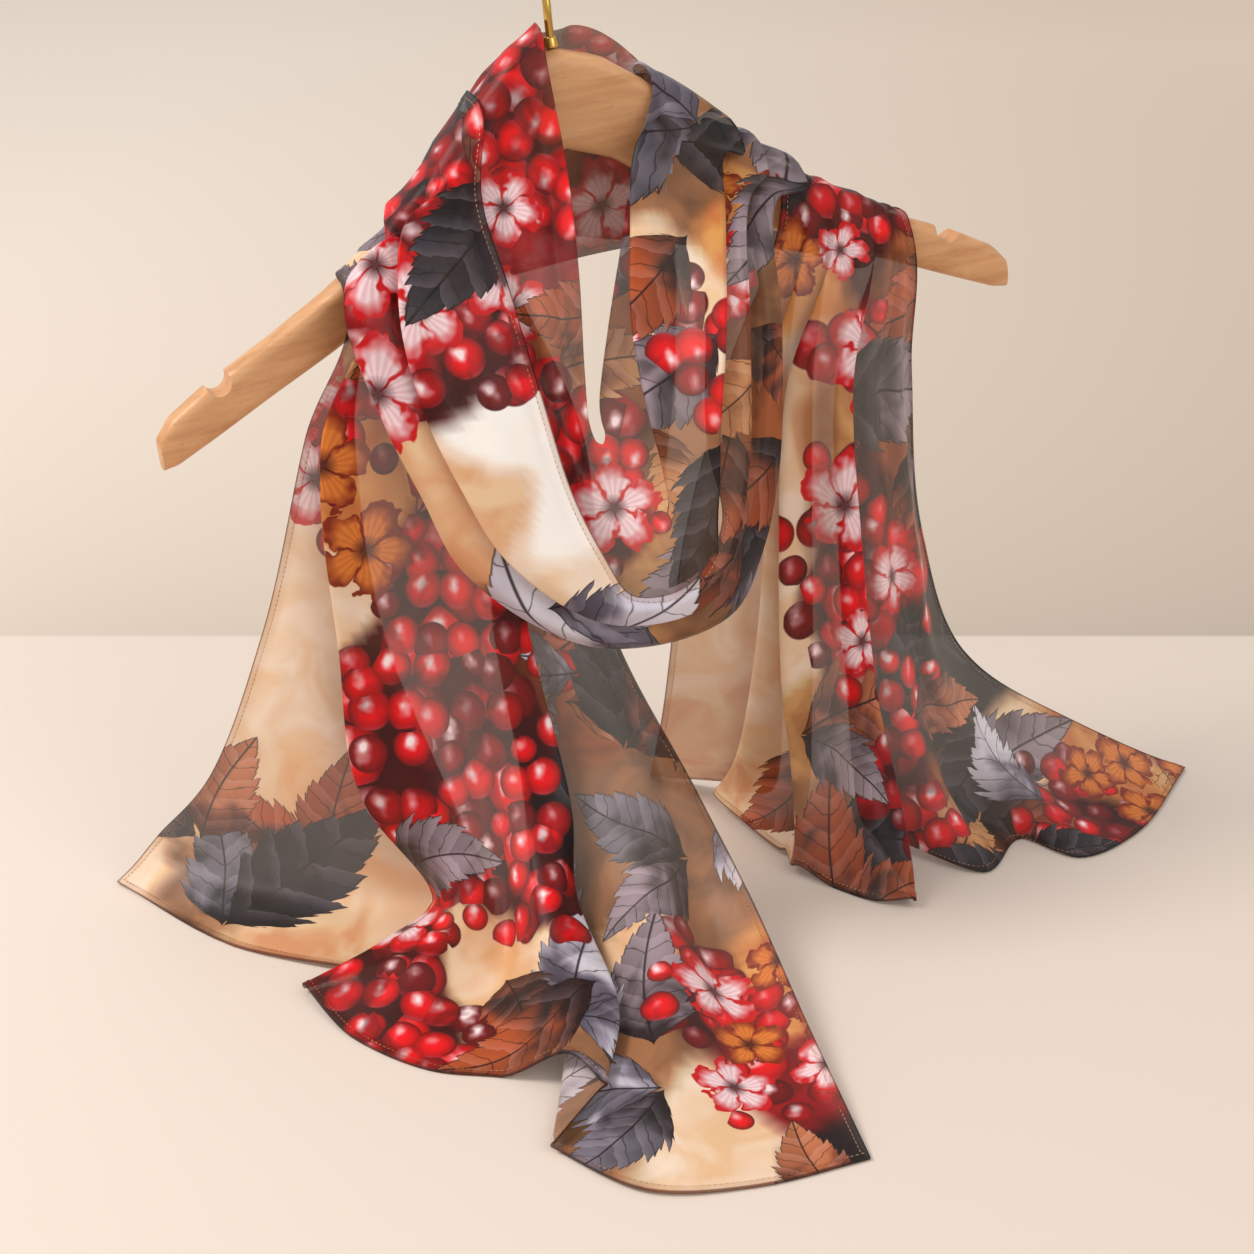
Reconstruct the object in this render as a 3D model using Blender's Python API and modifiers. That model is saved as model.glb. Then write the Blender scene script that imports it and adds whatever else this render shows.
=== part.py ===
"""A chiffon scarf wound once round a wooden hanger, both ends spread on the table below.

The frame is the hook's: the origin is the inside top of the hook, +Z is up, the open side of
the drape faces -Y. Tables hold millimetres, and the meshes are made in metres.

The cloth is one long piece, built here as the stretches that show. It starts at the left end
on the table, climbs over the left arm, crosses behind the hanger, comes over the right arm,
hangs as a loop in front, climbs over the left arm again, crosses behind the rod and falls
over the right arm to the right end. Each stretch is a sheet drawn through its fold lines.
"""
import math
from collections import namedtuple

import bpy
import bmesh
from mathutils import Matrix, Vector

MM = 0.001

# ---------------------------------------------------------------- driving dimensions, in mm
TABLE = -500.0                 # height of the table top below the inside of the hook
CLOTH = 1.2                    # wall of the cloth
TAIL_FOLD = 2.0                # half the thickness of a pressed fold at its edge, in a tail
LOOP_FOLD = 1.3                # the same in the loop
ARM_FOLD = 1.0                 # the same where the cloth is drawn tight over an arm
FOLD_SHARE = 0.2               # and never more than this share of the cloth beside the edge
FREE_GAP = 0.4                 # air between the cloth and the table's plane
ROW_STEP = 22.0                # longest mesh row along the cloth
SPAN_CUTS = 2                  # mesh columns from one fold line to the next
LEAST_KNOT = 0.05              # keeps two knots apart where two fold lines meet

HANGER_TOP = Vector((8.0, 0.0, -82.0))     # middle of the wood's upper edge
HANGER_TURN = math.radians(22.5)           # left end turned to the front
HANGER_TILT = math.radians(5.8)            # left end hangs lower
ARM_BOW = math.tan(math.radians(9.5))      # each arm bends forward by this much per mm
BOW_ROUND = 30.0                           # the bend is rounded over this half width
WOOD_ROUND = 9.0                           # depth of the rounding on the wood's edges
WOOD_SQUARE = 2 / 3                        # power of the rounding: 1 is round, less is squarer
WOOD_STEPS = 8                             # mesh steps round each rounded edge
WOOD_CUTS = (0, 12, 23, 33, 43, 56, 70, 85, 100, 117, 134, 149, 164, 180, 195, 206, 215, 219, 222)
NOTCH_AT = 190.0                           # notch for a strap, near each end
NOTCH_RADIUS = 6.0
NOTCH_DEPTH = 7.0
NOTCH_SLOPE = math.atan2(16, 31)           # fall of the arm's upper edge there
NOTCH_LENGTH = 60.0                        # of the round cutter, through the wood

ROD_RADIUS = 2.0
HOOK_RADIUS = 19.0             # inside radius of the hook
HOOK_START = math.radians(-62) # where the round of the hook starts, from its level side
HOOK_END = math.radians(205)
HOOK_STEPS = 18
ROD_RISE = 14.0                # straight length of the rod above its ferrule
ROD_BEND = (6.0, 8.0)          # the rod's bend: out from the middle, and below the round
ROUND_SIDES = 20               # mesh sides of the ferrule and of a notch
FERRULE_RADIUS = 4.0
FERRULE_NECK = 2.8             # radius of its narrow upper end
FERRULE_HEIGHT = 5.0
SEAT_GAP = 0.3                 # air between the wood, the ferrule and the rod
SEAM_GAP = 0.6                 # air between two stretches of the cloth where they meet

# hanger sections: distance from the middle, height of the upper and lower edge, thickness
WoodSection = namedtuple("WoodSection", "out top bottom thick")
WOOD = [
    WoodSection(0, 0, -48, 21),
    WoodSection(23, -7, -56, 21),
    WoodSection(43, -21, -70, 20.5),
    WoodSection(60, -38, -82, 20),
    WoodSection(78, -56, -93, 19.5),
    WoodSection(100, -73, -104, 19),
    WoodSection(134, -92, -119, 18),
    WoodSection(164, -106, -131, 17),
    WoodSection(195, -119, -144, 16),
    WoodSection(215, -130, -152, 15),
    WoodSection(222, -138, -153, 11),
]

# Where a sheet lies on an arm. angle: 0 is the front face, 90 the top, 180 the back. opened: how
# much of the way a fold has moved there from its place in front to its place on the seam.
ArmStop = namedtuple("ArmStop", "angle opened")
LOOP_STOPS = (ArmStop(135, 0.5), ArmStop(92, 0.25), ArmStop(54, 0.1), ArmStop(22, 0))
TAIL_STOPS = (ArmStop(145, 0.5), ArmStop(112, 0.2), ArmStop(82, 0), ArmStop(55, 0), ArmStop(25, 0))

# Where one stretch of cloth meets the next, on the back of an arm. Places along the arm, depths
# below its upper edge and the lean from straight down towards the middle run evenly from the
# first fold line to the last.
Seam = namedtuple("Seam", "side_a side_b drop_a drop_b lean_a lean_b off")
SEAM_TAIL_LEFT = Seam(-54, -113, 20, 22, 50, 35, 1.6)
SEAM_LOOP_LEFT = Seam(0, -78, -5, 20, 90, 40, 3.8)
SEAM_LOOP_RIGHT = Seam(42, 99, 20, 22, 45, 35, 1.6)
SEAM_TAIL_RIGHT = Seam(104, 162, 20, 22, 45, 35, 1.6)
SEAM_REACH = 7.0               # how far from its seam a sheet still runs straight
INNER_SHARE = 0.43             # the share of a loop seam where the inner sheet ends
OUTER_SHARE = 0.51             # and where the outer sheet starts

# Columns of the fold tables. side: place along the arm (left negative). off: how far the
# sheet's middle lies off the wood. lift: more of it, on top only. edge: a pressed fold that
# turns back on itself. Every other column is a place (x, y) or (x, y, z) that the line passes.
LEVELS_LEFT = dict(chest=-250, hip=-350, knee=-430)
TailFold = namedtuple("TailFold", "name side off lift edge chest hip knee foot toe hem")
TAIL_LEFT = [
    TailFold("near hem", -62, 1.6, 0, 0, (19, -38), (36, -70), (80, -97),
             (105, -138, -466), (127, -220, -486), (147, -302, 0)),
    TailFold("leaf trough", -67, 1.5, 0, 0, (10, -36), (26, -60), (66, -92),
             (80, -138, -478), (98, -213, -492), (98, -322, 0)),
    TailFold("leaf crest", -72, 2.4, 0, 0, (-2, -46), (16, -76), (50, -106),
             (58, -158, -461), (64, -235, -482), (52, -326, 1)),
    TailFold("roll trough", -77, 1.8, 0, 1, (-22, -46), (-22, -66), (-8, -84),
             (0, -120, -489), (15, -214, -494), (12, -297, 3)),
    TailFold("roll edge", -80, 2.6, 0, 1, (-18, -60), (-3, -84), (17, -110),
             (20, -138, -463), (40, -212, -477), (35, -264, 12)),
    TailFold("roll top", -85, 2.4, 0, 0, (-28, -62), (-13, -86), (8, -116),
             (12, -155, -460), (22, -206, -471), (18, -248, 18)),
    TailFold("middle crest", -91, 2.4, 0, 0, (-37, -66), (-24, -88), (-4, -116),
             (2, -164, -468), (-2, -203, -487), (-12, -239, 0)),
    TailFold("flower trough", -98, 1.6, 0, 0, (-54, -70), (-44, -80), (-24, -102),
             (-14, -146, -485), (-30, -190, -495), (-45, -233, 0)),
    TailFold("flower crest", -105, 2.6, 0, 0, (-77, -84), (-68, -92), (-46, -114),
             (-38, -137, -466), (-58, -173, -484), (-84, -204, 0)),
    TailFold("front edge", -111, 3, 0, 1, (-98, -93), (-94, -98), (-84, -105),
             (-53, -103, -480), (-73, -140, -485), (-110, -165, 4)),
    TailFold("side trough", -115, 1.6, 0, 1, (-84, -78), (-74, -78), (-46, -82),
             (-22, -92, -491), (-42, -130, -494), (-88, -150, 3)),
    TailFold("side panel", -119, 1.5, 0, 0, (-98, -82), (-108, -82), (-112, -84),
             (-126, -82, -482), (-140, -100, -493), (-150, -121, 0)),
    TailFold("long hem", -124, 1.5, 0, 0, (-107, -82), (-133, -78), (-165, -73),
             (-194, -57, -468), (-209, -56, -487), (-220, -55, 0)),
]

LEVELS_RIGHT = dict(chest=-250, hip=-340, knee=-410)
TAIL_RIGHT = [
    TailFold("inner hem", 103, 1.6, 3, 0, (94, 24), (73, 18), (66, 20),
             (61, 40, -462), (58, 56, -486), (57, 73, 0)),
    TailFold("sheer trough", 111, 1.6, 3, 1, (126, 24), (130, 20), (128, 20),
             (124, 28, -486), (116, 38, -492), (108, 50, 4)),
    TailFold("sheer edge", 116, 2.6, 3, 1, (115, 12), (115, 6), (110, 6),
             (101, 20, -468), (96, 28, -481), (92, 34, 9)),
    TailFold("cream trough", 124, 1.6, 3, 1, (138, 11), (140, 5), (142, 3),
             (140, 2, -486), (134, -10, -493), (126, -24, 3)),
    TailFold("cream edge", 129, 3, 3, 1, (124, 0), (122, -7), (125, -13),
             (131, -24, -458), (132, -36, -480), (131, -46, 5)),
    TailFold("vine trough", 135, 1.8, 3, 0, (139, 2), (143, -2), (148, -9),
             (152, -34, -474), (151, -50, -492), (150, -60, 0)),
    TailFold("vine crest", 141, 2.8, 2, 0, (149, -6), (156, -13), (164, -23),
             (170, -50, -464), (171, -66, -486), (170, -75, 0)),
    TailFold("vine edge", 147, 3.2, 2, 1, (157, -1), (165, -7), (174, -17),
             (187, -44, -466), (190, -66, -484), (190, -82, 5)),
    TailFold("side trough", 151, 1.8, 2, 1, (150, 16), (154, 14), (160, 10),
             (170, -4, -489), (176, -12, -493), (182, -16, 3)),
    TailFold("leaf crest", 156, 2.6, 1, 0, (167, 8), (175, 4), (187, -4),
             (211, -22, -472), (222, -34, -488), (231, -44, 0)),
    TailFold("leaf trough", 160, 1.6, 1, 0, (173, 18), (183, 16), (199, 13),
             (228, 10, -489), (244, 2, -496), (256, -5, 0)),
    TailFold("corner crest", 163, 2.6, 1, 0, (182, 14), (194, 12), (207, 9),
             (246, 14, -472), (268, -6, -490), (283, -27, 0)),
    TailFold("corner trough", 166, 1.6, 1, 0, (185, 26), (197, 26), (215, 25),
             (268, 34, -480), (296, 20, -492), (320, 2, 0)),
    TailFold("outer hem", 169, 1.8, 1, 0, (190, 36), (200, 38), (226, 45),
             (288, 58, -456), (326, 70, -479), (363, 83, 0)),
]

# The loop in front. Columns from the left arm round the bottom to the right arm. left, loff and
# llift are the side, off and lift on the left arm, and right, roff and rlift on the right arm.
OuterFold = namedtuple("OuterFold", "name left loff llift edge shoulder chest waist low turn bottom"
                       " rturn rmid rlow rchest rshoulder right roff rlift")
LOOP_OUTER = [
    OuterFold("stitched hem", -44, 6.8, 0, 0, (-24, -48, -140), (-11, -68, -181), (5, -88, -230),
              (18, -100, -270), (33, -108, -299), (50, -111, -319), (79, -105, -308),
              (89, -90, -288), (83, -66, -262), (82, -38, -207), (83, -7, -150), 77, 1.6, 6),
    OuterFold("cream crest", -56, 6.6, 0, 0, (-42, -56, -145), (-33, -80, -181), (-19, -98, -227),
              (-5, -110, -266), (13, -117, -298), (45, -118, -322), (83, -106, -314),
              (93, -92, -292), (95, -72, -266), (97, -44, -207), (97, -14, -150), 88, 3.2, 8),
    OuterFold("cream edge", -70, 7.2, 0, 1, (-57, -67, -150), (-60, -88, -180), (-49, -103, -231),
              (-32, -113, -265), (-12, -119, -297), (37, -117, -330), (86, -104, -321),
              (97, -91, -297), (102, -70, -270), (103, -41, -208), (103, -13, -151), 96, 5.0, 9),
    OuterFold("under trough", -78, 5.6, 0, 1, (-54, -59, -157), (-55, -79, -183), (-41, -92, -226),
              (-22, -102, -259), (-1, -108, -290), (38, -107, -324), (86, -94, -317),
              (96, -81, -294), (101, -60, -268), (102, -31, -208), (101, -3, -151), 99, 2.6, 8),
    OuterFold("leaf edge", -91, 6.4, 0, 0, (-71, -69, -161), (-77, -90, -182), (-61, -101, -235),
              (-44, -108, -270), (-24, -113, -305), (33, -112, -341), (91, -96, -330),
              (104, -80, -303), (110, -63, -276), (112, -36, -210), (109, -6, -152), 106, 4.8, 7),
    OuterFold("outer edge", -103, 7.6, -1, 1, (-81, -73, -171), (-85, -90, -187), (-68, -98, -238),
              (-52, -102, -271), (-32, -105, -309), (31, -104, -347), (96, -87, -335),
              (110, -72, -308), (117, -56, -278), (119, -29, -211), (117, -4, -153), 115, 7.0, 5),
    OuterFold("inner return", -96, 5, 0, 0, (-71, -63, -173), (-73, -82, -190), (-56, -91, -239),
              (-41, -95, -268), (-22, -97, -300), (31, -95, -337), (89, -78, -325),
              (102, -62, -300), (108, -46, -274), (110, -20, -211), (109, 5, -154), 112, 4.4, 4),
]

InnerFold = namedtuple("InnerFold", "name left loff llift edge shoulder chest waist low turn bottom"
                       " rturn rmid rlow rchest rshoulder rneck right roff rlift")
LOOP_INNER = [
    InnerFold("gap edge", -8, 3.0, 11, 0, (14, -26, -124), (21, -52, -174), (24, -71, -222),
              (26, -79, -244), (29, -82, -251), (33, -81, -253), (34, -77, -250), (32, -72, -244),
              (31, -66, -236), (35, -46, -206), (41, -25, -172), (48, -10, -130), 44, 1.8, 6),
    InnerFold("gap trough", -16, 3.0, 8, 0, (6, -26, -126), (12, -50, -176), (17, -69, -226),
              (24, -78, -256), (33, -83, -268), (43, -84, -273), (54, -80, -268), (62, -74, -256),
              (66, -66, -240), (68, -43, -205), (67, -22, -166), (58, -8, -126), 49, 1.8, 7),
    InnerFold("panel edge", -26, 4.4, 4, 0, (-5, -34, -128), (2, -60, -178), (11, -79, -230),
              (23, -87, -268), (38, -92, -284), (54, -95, -292), (66, -93, -290), (62, -90, -266),
              (55, -83, -240), (47, -60, -204), (46, -38, -165), (50, -16, -122), 53, 3.6, 7),
    InnerFold("panel crease", -38, 3.6, 2, 0, (-18, -36, -130), (-10, -56, -179), (5, -76, -232),
              (20, -88, -277), (37, -96, -302), (57, -98, -316), (74, -94, -306), (73, -92, -272),
              (72, -80, -242), (69, -56, -206), (69, -34, -165), (70, -12, -124), 67, 3.6, 10),
    InnerFold("panel side", -50, 4.4, 0, 0, (-32, -42, -134), (-22, -59, -180), (-5, -78, -232),
              (12, -90, -280), (31, -99, -315), (58, -101, -333), (82, -92, -320), (87, -86, -284),
              (88, -80, -248), (91, -57, -206), (91, -28, -160), (91, -8, -130), 85, 5.6, 9),
]

# What crosses behind the hanger, from the seam on the left arm to the seam on the right arm
CrossingFold = namedtuple("CrossingFold", "name left middle right")
BACK = [
    CrossingFold("top", (-12, 4, -142), (12, 17, -134), (30, 22, -127)),
    CrossingFold("first fold", (-22, 0, -153), (16, 22, -146), (42, 29, -140)),
    CrossingFold("first trough", (-30, -12, -168), (18, 15, -158), (54, 30, -153)),
    CrossingFold("second fold", (-38, -14, -181), (20, 21, -172), (66, 36, -165)),
    CrossingFold("hem", (-44, -22, -196), (24, 16, -186), (80, 34, -178)),
]
COLLAR = [
    CrossingFold("top", (18, 17, -74), (56, 36, -100), (84, 46, -138)),
    CrossingFold("first trough", (8, 24, -92), (58, 44, -122), (94, 50, -152)),
    CrossingFold("first fold", (-2, 22, -108), (62, 50, -140), (104, 53, -163)),
    CrossingFold("second trough", (-12, 16, -127), (66, 50, -158), (114, 55, -174)),
    CrossingFold("second fold", (-20, 10, -150), (70, 52, -174), (124, 58, -184)),
    CrossingFold("hem", (-30, 2, -172), (74, 48, -188), (134, 60, -194)),
]

COLOURS = dict(
    cloth=((0.86, 0.70, 0.52, 1), 0.55, 0),
    cloth_red=((0.62, 0.06, 0.07, 1), 0.5, 0),
    cloth_grey=((0.30, 0.28, 0.30, 1), 0.5, 0),
    wood=((0.72, 0.46, 0.24, 1), 0.5, 0),
    brass=((0.70, 0.50, 0.22, 1), 0.3, 1),
)


# ---------------------------------------------------------------- curves through points
def hermite(a, b, slope_a, slope_b, width, share):
    """A cubic from a to b with the given slopes at its ends."""
    s2 = share * share
    s3 = s2 * share
    return (a * (2 * s3 - 3 * s2 + 1) + b * (3 * s2 - 2 * s3)
            + slope_a * (width * (s3 - 2 * s2 + share)) + slope_b * (width * (s3 - s2)))


def slopes_at(points, knots):
    """A slope for each point, so that a smooth curve passes through all of them."""
    last = len(points) - 1
    steps = [(points[i + 1] - points[i]) / (knots[i + 1] - knots[i]) for i in range(last)]
    slopes = [steps[0]]
    for i in range(1, last):
        before = knots[i] - knots[i - 1]
        after = knots[i + 1] - knots[i]
        slopes.append((steps[i - 1] * after + steps[i] * before) / (before + after))
    slopes.append(steps[-1])
    return slopes


def curve_point(points, knots, slopes, span, share):
    width = knots[span + 1] - knots[span]
    return hermite(points[span], points[span + 1], slopes[span], slopes[span + 1], width, share)


def shared_knots(lines):
    """Knots along the cloth that all its fold lines share: the mean length of each span."""
    knots = [0.0]
    for i in range(len(lines[0]) - 1):
        mean = sum((line[i + 1] - line[i]).length for line in lines) / len(lines)
        knots.append(knots[-1] + mean)
    return knots


# ---------------------------------------------------------------- the hanger's form
def wood_at(out):
    """The hanger's section at a distance from its middle, straight between the table's rows."""
    out = min(abs(out), WOOD[-1].out)
    for near, far in zip(WOOD, WOOD[1:]):
        if out <= far.out:
            share = (out - near.out) / (far.out - near.out)
            return WoodSection(*[a + (b - a) * share for a, b in zip(near, far)])
    return WOOD[-1]


def hanger_to_frame(side, depth, height):
    """A place in the hanger's own straight frame, bowed, tilted, turned and hung."""
    bowed = depth - ARM_BOW * (math.hypot(side, BOW_ROUND) - BOW_ROUND)
    place = Vector((side, bowed, height))
    turn = Matrix.Rotation(HANGER_TURN, 3, "Z") @ Matrix.Rotation(-HANGER_TILT, 3, "Y")
    return turn @ place + HANGER_TOP


def rounded(angle):
    """Cosine and sine of a squarish round, which is the section of the wood's edge."""
    def flat(value):
        return math.copysign(abs(value) ** WOOD_SQUARE, value)
    return flat(math.cos(angle)), flat(math.sin(angle))


def on_arm(side, degrees, off, lift=0.0):
    """A place just off the wood's upper edge, at an angle round it from front to back."""
    wood = wood_at(side)
    c, s = rounded(math.radians(degrees))
    depth = -c * (wood.thick / 2 + off)
    height = wood.top - WOOD_ROUND + s * (WOOD_ROUND + off + lift)
    return hanger_to_frame(side, depth, height)


def seam_side(seam, share):
    return seam.side_a + (seam.side_b - seam.side_a) * share


def seam_place(seam, share, reach):
    """A place beside a seam on the back of an arm: reach is positive towards the middle."""
    side = seam_side(seam, share)
    drop = seam.drop_a + (seam.drop_b - seam.drop_a) * share
    lean = math.radians(seam.lean_a + (seam.lean_b - seam.lean_a) * share)
    wood = wood_at(side)
    inward = reach * math.sin(lean) * (1 if seam.side_b < 0 else -1)
    down = reach * math.cos(lean)
    return hanger_to_frame(side + inward, wood.thick / 2 + seam.off, wood.top - drop - down)


# ---------------------------------------------------------------- sheets of cloth
def flat_direction(step, along):
    """The direction of a step, seen along the fold line."""
    return (step - along * step.dot(along)).normalized()


def round_the_folds(row, alongs, edges, radius):
    """Gives each pressed fold in a row of fold-line points its round edge."""
    smooth = []
    for i, place in enumerate(row):
        if not edges[i]:
            smooth.append(place)
            continue
        beside = min((row[i - 1] - place).length, (row[i + 1] - place).length)
        size = min(radius, FOLD_SHARE * beside)
        before = flat_direction(row[i - 1] - place, alongs[i])
        after = flat_direction(row[i + 1] - place, alongs[i])
        inward = (before + after) / 2
        across = (after - before).normalized()
        smooth.append(place + (inward - across) * size)
        smooth.append(place)
        smooth.append(place + (inward + across) * size)
    return smooth


def across_row(row, cuts):
    """Mesh points of one row: a curve through its points, with knots by the root of length."""
    knots = [0.0]
    for a, b in zip(row, row[1:]):
        knots.append(knots[-1] + max(math.sqrt((b - a).length), LEAST_KNOT))
    slopes = slopes_at(row, knots)
    places = []
    for span, count in enumerate(cuts):
        for k in range(count):
            places.append(curve_point(row, knots, slopes, span, k / count))
    places.append(row[-1])
    return places


def column_cuts(edges):
    """How many mesh columns lie in each span of a row, fewer on the short round folds."""
    cuts = []
    for i, edge in enumerate(edges):
        if edge:
            cuts += [1, 1]
        if i < len(edges) - 1:
            cuts.append(SPAN_CUTS)
    return cuts


def sheet_grid(lines, edges, radii):
    """Rows of mesh points of a sheet through its fold lines. radii: one for each station."""
    knots = shared_knots(lines)
    slopes = [slopes_at(line, knots) for line in lines]
    cuts = column_cuts(edges)
    lowest = TABLE + FREE_GAP + CLOTH / 2
    grid = []
    for span in range(len(knots) - 1):
        count = max(1, math.ceil((knots[span + 1] - knots[span]) / ROW_STEP))
        stops = range(count + 1) if span == len(knots) - 2 else range(count)
        for k in stops:
            share = k / count
            row = [curve_point(line, knots, slopes[i], span, share)
                   for i, line in enumerate(lines)]
            alongs = [slope[span].lerp(slope[span + 1], share).normalized() for slope in slopes]
            radius = radii[span] + (radii[span + 1] - radii[span]) * share
            places = across_row(round_the_folds(row, alongs, edges, radius), cuts)
            for place in places:
                place.z = max(place.z, lowest)
            grid.append(places)
    return grid


def material(name):
    colour, rough, metal = COLOURS[name]
    made = bpy.data.materials.new(name)
    made.use_nodes = True
    shader = made.node_tree.nodes["Principled BSDF"]
    shader.inputs["Base Color"].default_value = colour
    shader.inputs["Roughness"].default_value = rough
    shader.inputs["Metallic"].default_value = metal
    made.diffuse_color = colour
    return made


def add_object(name, mesh, look):
    piece = bpy.data.objects.new(name, mesh)
    collection.objects.link(piece)
    mesh.materials.clear()
    mesh.materials.append(looks[look])
    mesh.shade_smooth()
    return piece


def mesh_from_grid(name, grid, closed):
    """Quads over rows of points; a closed grid is a tube with capped ends."""
    shape = bmesh.new()
    rows = [[shape.verts.new(place * MM) for place in row] for row in grid]
    width = len(rows[0])
    for a, b in zip(rows, rows[1:]):
        for i in range(width if closed else width - 1):
            j = (i + 1) % width
            shape.faces.new((a[i], a[j], b[j], b[i]))
    if closed:
        shape.faces.new(rows[0])
        shape.faces.new(rows[-1])
    bmesh.ops.recalc_face_normals(shape, faces=shape.faces[:])
    mesh = bpy.data.meshes.new(name)
    shape.to_mesh(mesh)
    shape.free()
    return mesh


def cloth_sheet(name, lines, edges, radii, look):
    mesh = mesh_from_grid(name, sheet_grid(lines, edges, radii), closed=False)
    piece = add_object(name, mesh, look)
    wall = piece.modifiers.new("Wall", "SOLIDIFY")
    wall.thickness = CLOTH * MM
    wall.offset = 0.0
    wall.use_rim = True
    return piece


def at_level(place, level):
    return Vector((place[0], place[1], level))


def on_table(place):
    return Vector((place[0], place[1], TABLE + FREE_GAP + CLOTH / 2 + place[2]))


def seam_end(seam, share, way):
    """The two places with which a sheet meets its seam. way: 1 for the middle, -1 for the arm."""
    return [seam_place(seam, share, way * SEAM_GAP / 2), seam_place(seam, share, way * SEAM_REACH)]


def over_arm(stops, side, off, lift, seam, share):
    """A fold line's places on an arm, from its back to its front."""
    places = []
    for stop in stops:
        opened = side + (seam_side(seam, share) - side) * stop.opened
        places.append(on_arm(opened, stop.angle, off, lift))
    return places


def spread(count, first=0.0, last=1.0):
    """Even shares from the first to the last."""
    return [first + (last - first) * i / (count - 1) for i in range(count)]


def tail_line(fold, levels, seam, share):
    """A tail's fold line from the seam, over the arm and down to the hem on the table."""
    line = seam_end(seam, share, -1)
    line += over_arm(TAIL_STOPS, fold.side, fold.off, fold.lift, seam, share)
    line += [at_level(getattr(fold, name), level) for name, level in levels.items()]
    return line + [Vector(fold.foot), Vector(fold.toe), on_table(fold.hem)]


def build_tails():
    for name, folds, levels, seam in (
            ("scarf_tail_left", TAIL_LEFT, LEVELS_LEFT, SEAM_TAIL_LEFT),
            ("scarf_tail_right", TAIL_RIGHT, LEVELS_RIGHT, SEAM_TAIL_RIGHT)):
        lines = [tail_line(fold, levels, seam, share)
                 for fold, share in zip(folds, spread(len(folds)))]
        on_wood = 2 + len(TAIL_STOPS)
        radii = [ARM_FOLD] * on_wood + [TAIL_FOLD] * (len(lines[0]) - on_wood)
        cloth_sheet(name, lines, [fold.edge for fold in folds], radii, "cloth")


def loop_line(fold, stations, share):
    """A loop's fold line from the left seam, over the arm, round the bottom and back over."""
    line = seam_end(SEAM_LOOP_LEFT, share, -1)
    line += over_arm(LOOP_STOPS, fold.left, fold.loff, fold.llift, SEAM_LOOP_LEFT, share)
    line += [Vector(getattr(fold, name)) for name in stations]
    back = seam_end(SEAM_LOOP_RIGHT, share, -1)
    back += over_arm(LOOP_STOPS, fold.right, fold.roff, fold.rlift, SEAM_LOOP_RIGHT, share)
    return line + back[::-1]


def stations_of(table):
    """The names of the places that a loop table's lines pass between the arms."""
    names = table._fields
    return names[names.index("edge") + 1:names.index("right")]


def build_loop():
    tight = [ARM_FOLD] * (2 + len(LOOP_STOPS))
    outer = stations_of(OuterFold)
    shares = spread(len(LOOP_OUTER), OUTER_SHARE, 1.0)
    lines = [loop_line(fold, outer, share) for fold, share in zip(LOOP_OUTER, shares)]
    radii = tight + [LOOP_FOLD] * len(outer) + tight
    cloth_sheet("scarf_loop_outer", lines, [fold.edge for fold in LOOP_OUTER], radii, "cloth_red")
    inner = stations_of(InnerFold)
    shares = spread(len(LOOP_INNER), 0.0, INNER_SHARE)
    lines = [loop_line(fold, inner, share) for fold, share in zip(LOOP_INNER, shares)]
    radii = tight + [LOOP_FOLD] * len(inner) + tight
    cloth_sheet("scarf_loop_inner", lines, [fold.edge for fold in LOOP_INNER], radii, "cloth_grey")


def crossing_line(fold, left, right, share):
    """A fold line of a sheet that crosses behind the hanger, from seam to seam."""
    middle = [Vector(place) for place in (fold.left, fold.middle, fold.right)]
    return seam_end(left, share, 1) + middle + seam_end(right, share, 1)[::-1]


def build_crossings():
    for name, folds, look, left, right in (
            ("scarf_back", BACK, "cloth_grey", SEAM_TAIL_LEFT, SEAM_LOOP_RIGHT),
            ("scarf_collar", COLLAR, "cloth", SEAM_LOOP_LEFT, SEAM_TAIL_RIGHT)):
        lines = [crossing_line(fold, left, right, share)
                 for fold, share in zip(folds, spread(len(folds)))]
        cloth_sheet(name, lines, [0] * len(folds), [ARM_FOLD] * len(lines[0]), look)


# ---------------------------------------------------------------- hanger, ferrule and hook
def wood_section(side):
    """The rounded outline of the hanger at one place, in the frame."""
    wood = wood_at(side)
    half = wood.thick / 2
    depth = min(WOOD_ROUND, (wood.top - wood.bottom) / 2)
    upper = wood.top - depth
    lower = wood.bottom + depth
    places = []
    for centre, start in ((upper, 0), (lower, math.pi)):
        for k in range(WOOD_STEPS + 1):
            c, s = rounded(start + math.pi * k / WOOD_STEPS)
            places.append(hanger_to_frame(side, -c * half, centre + s * depth))
    return places


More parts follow.
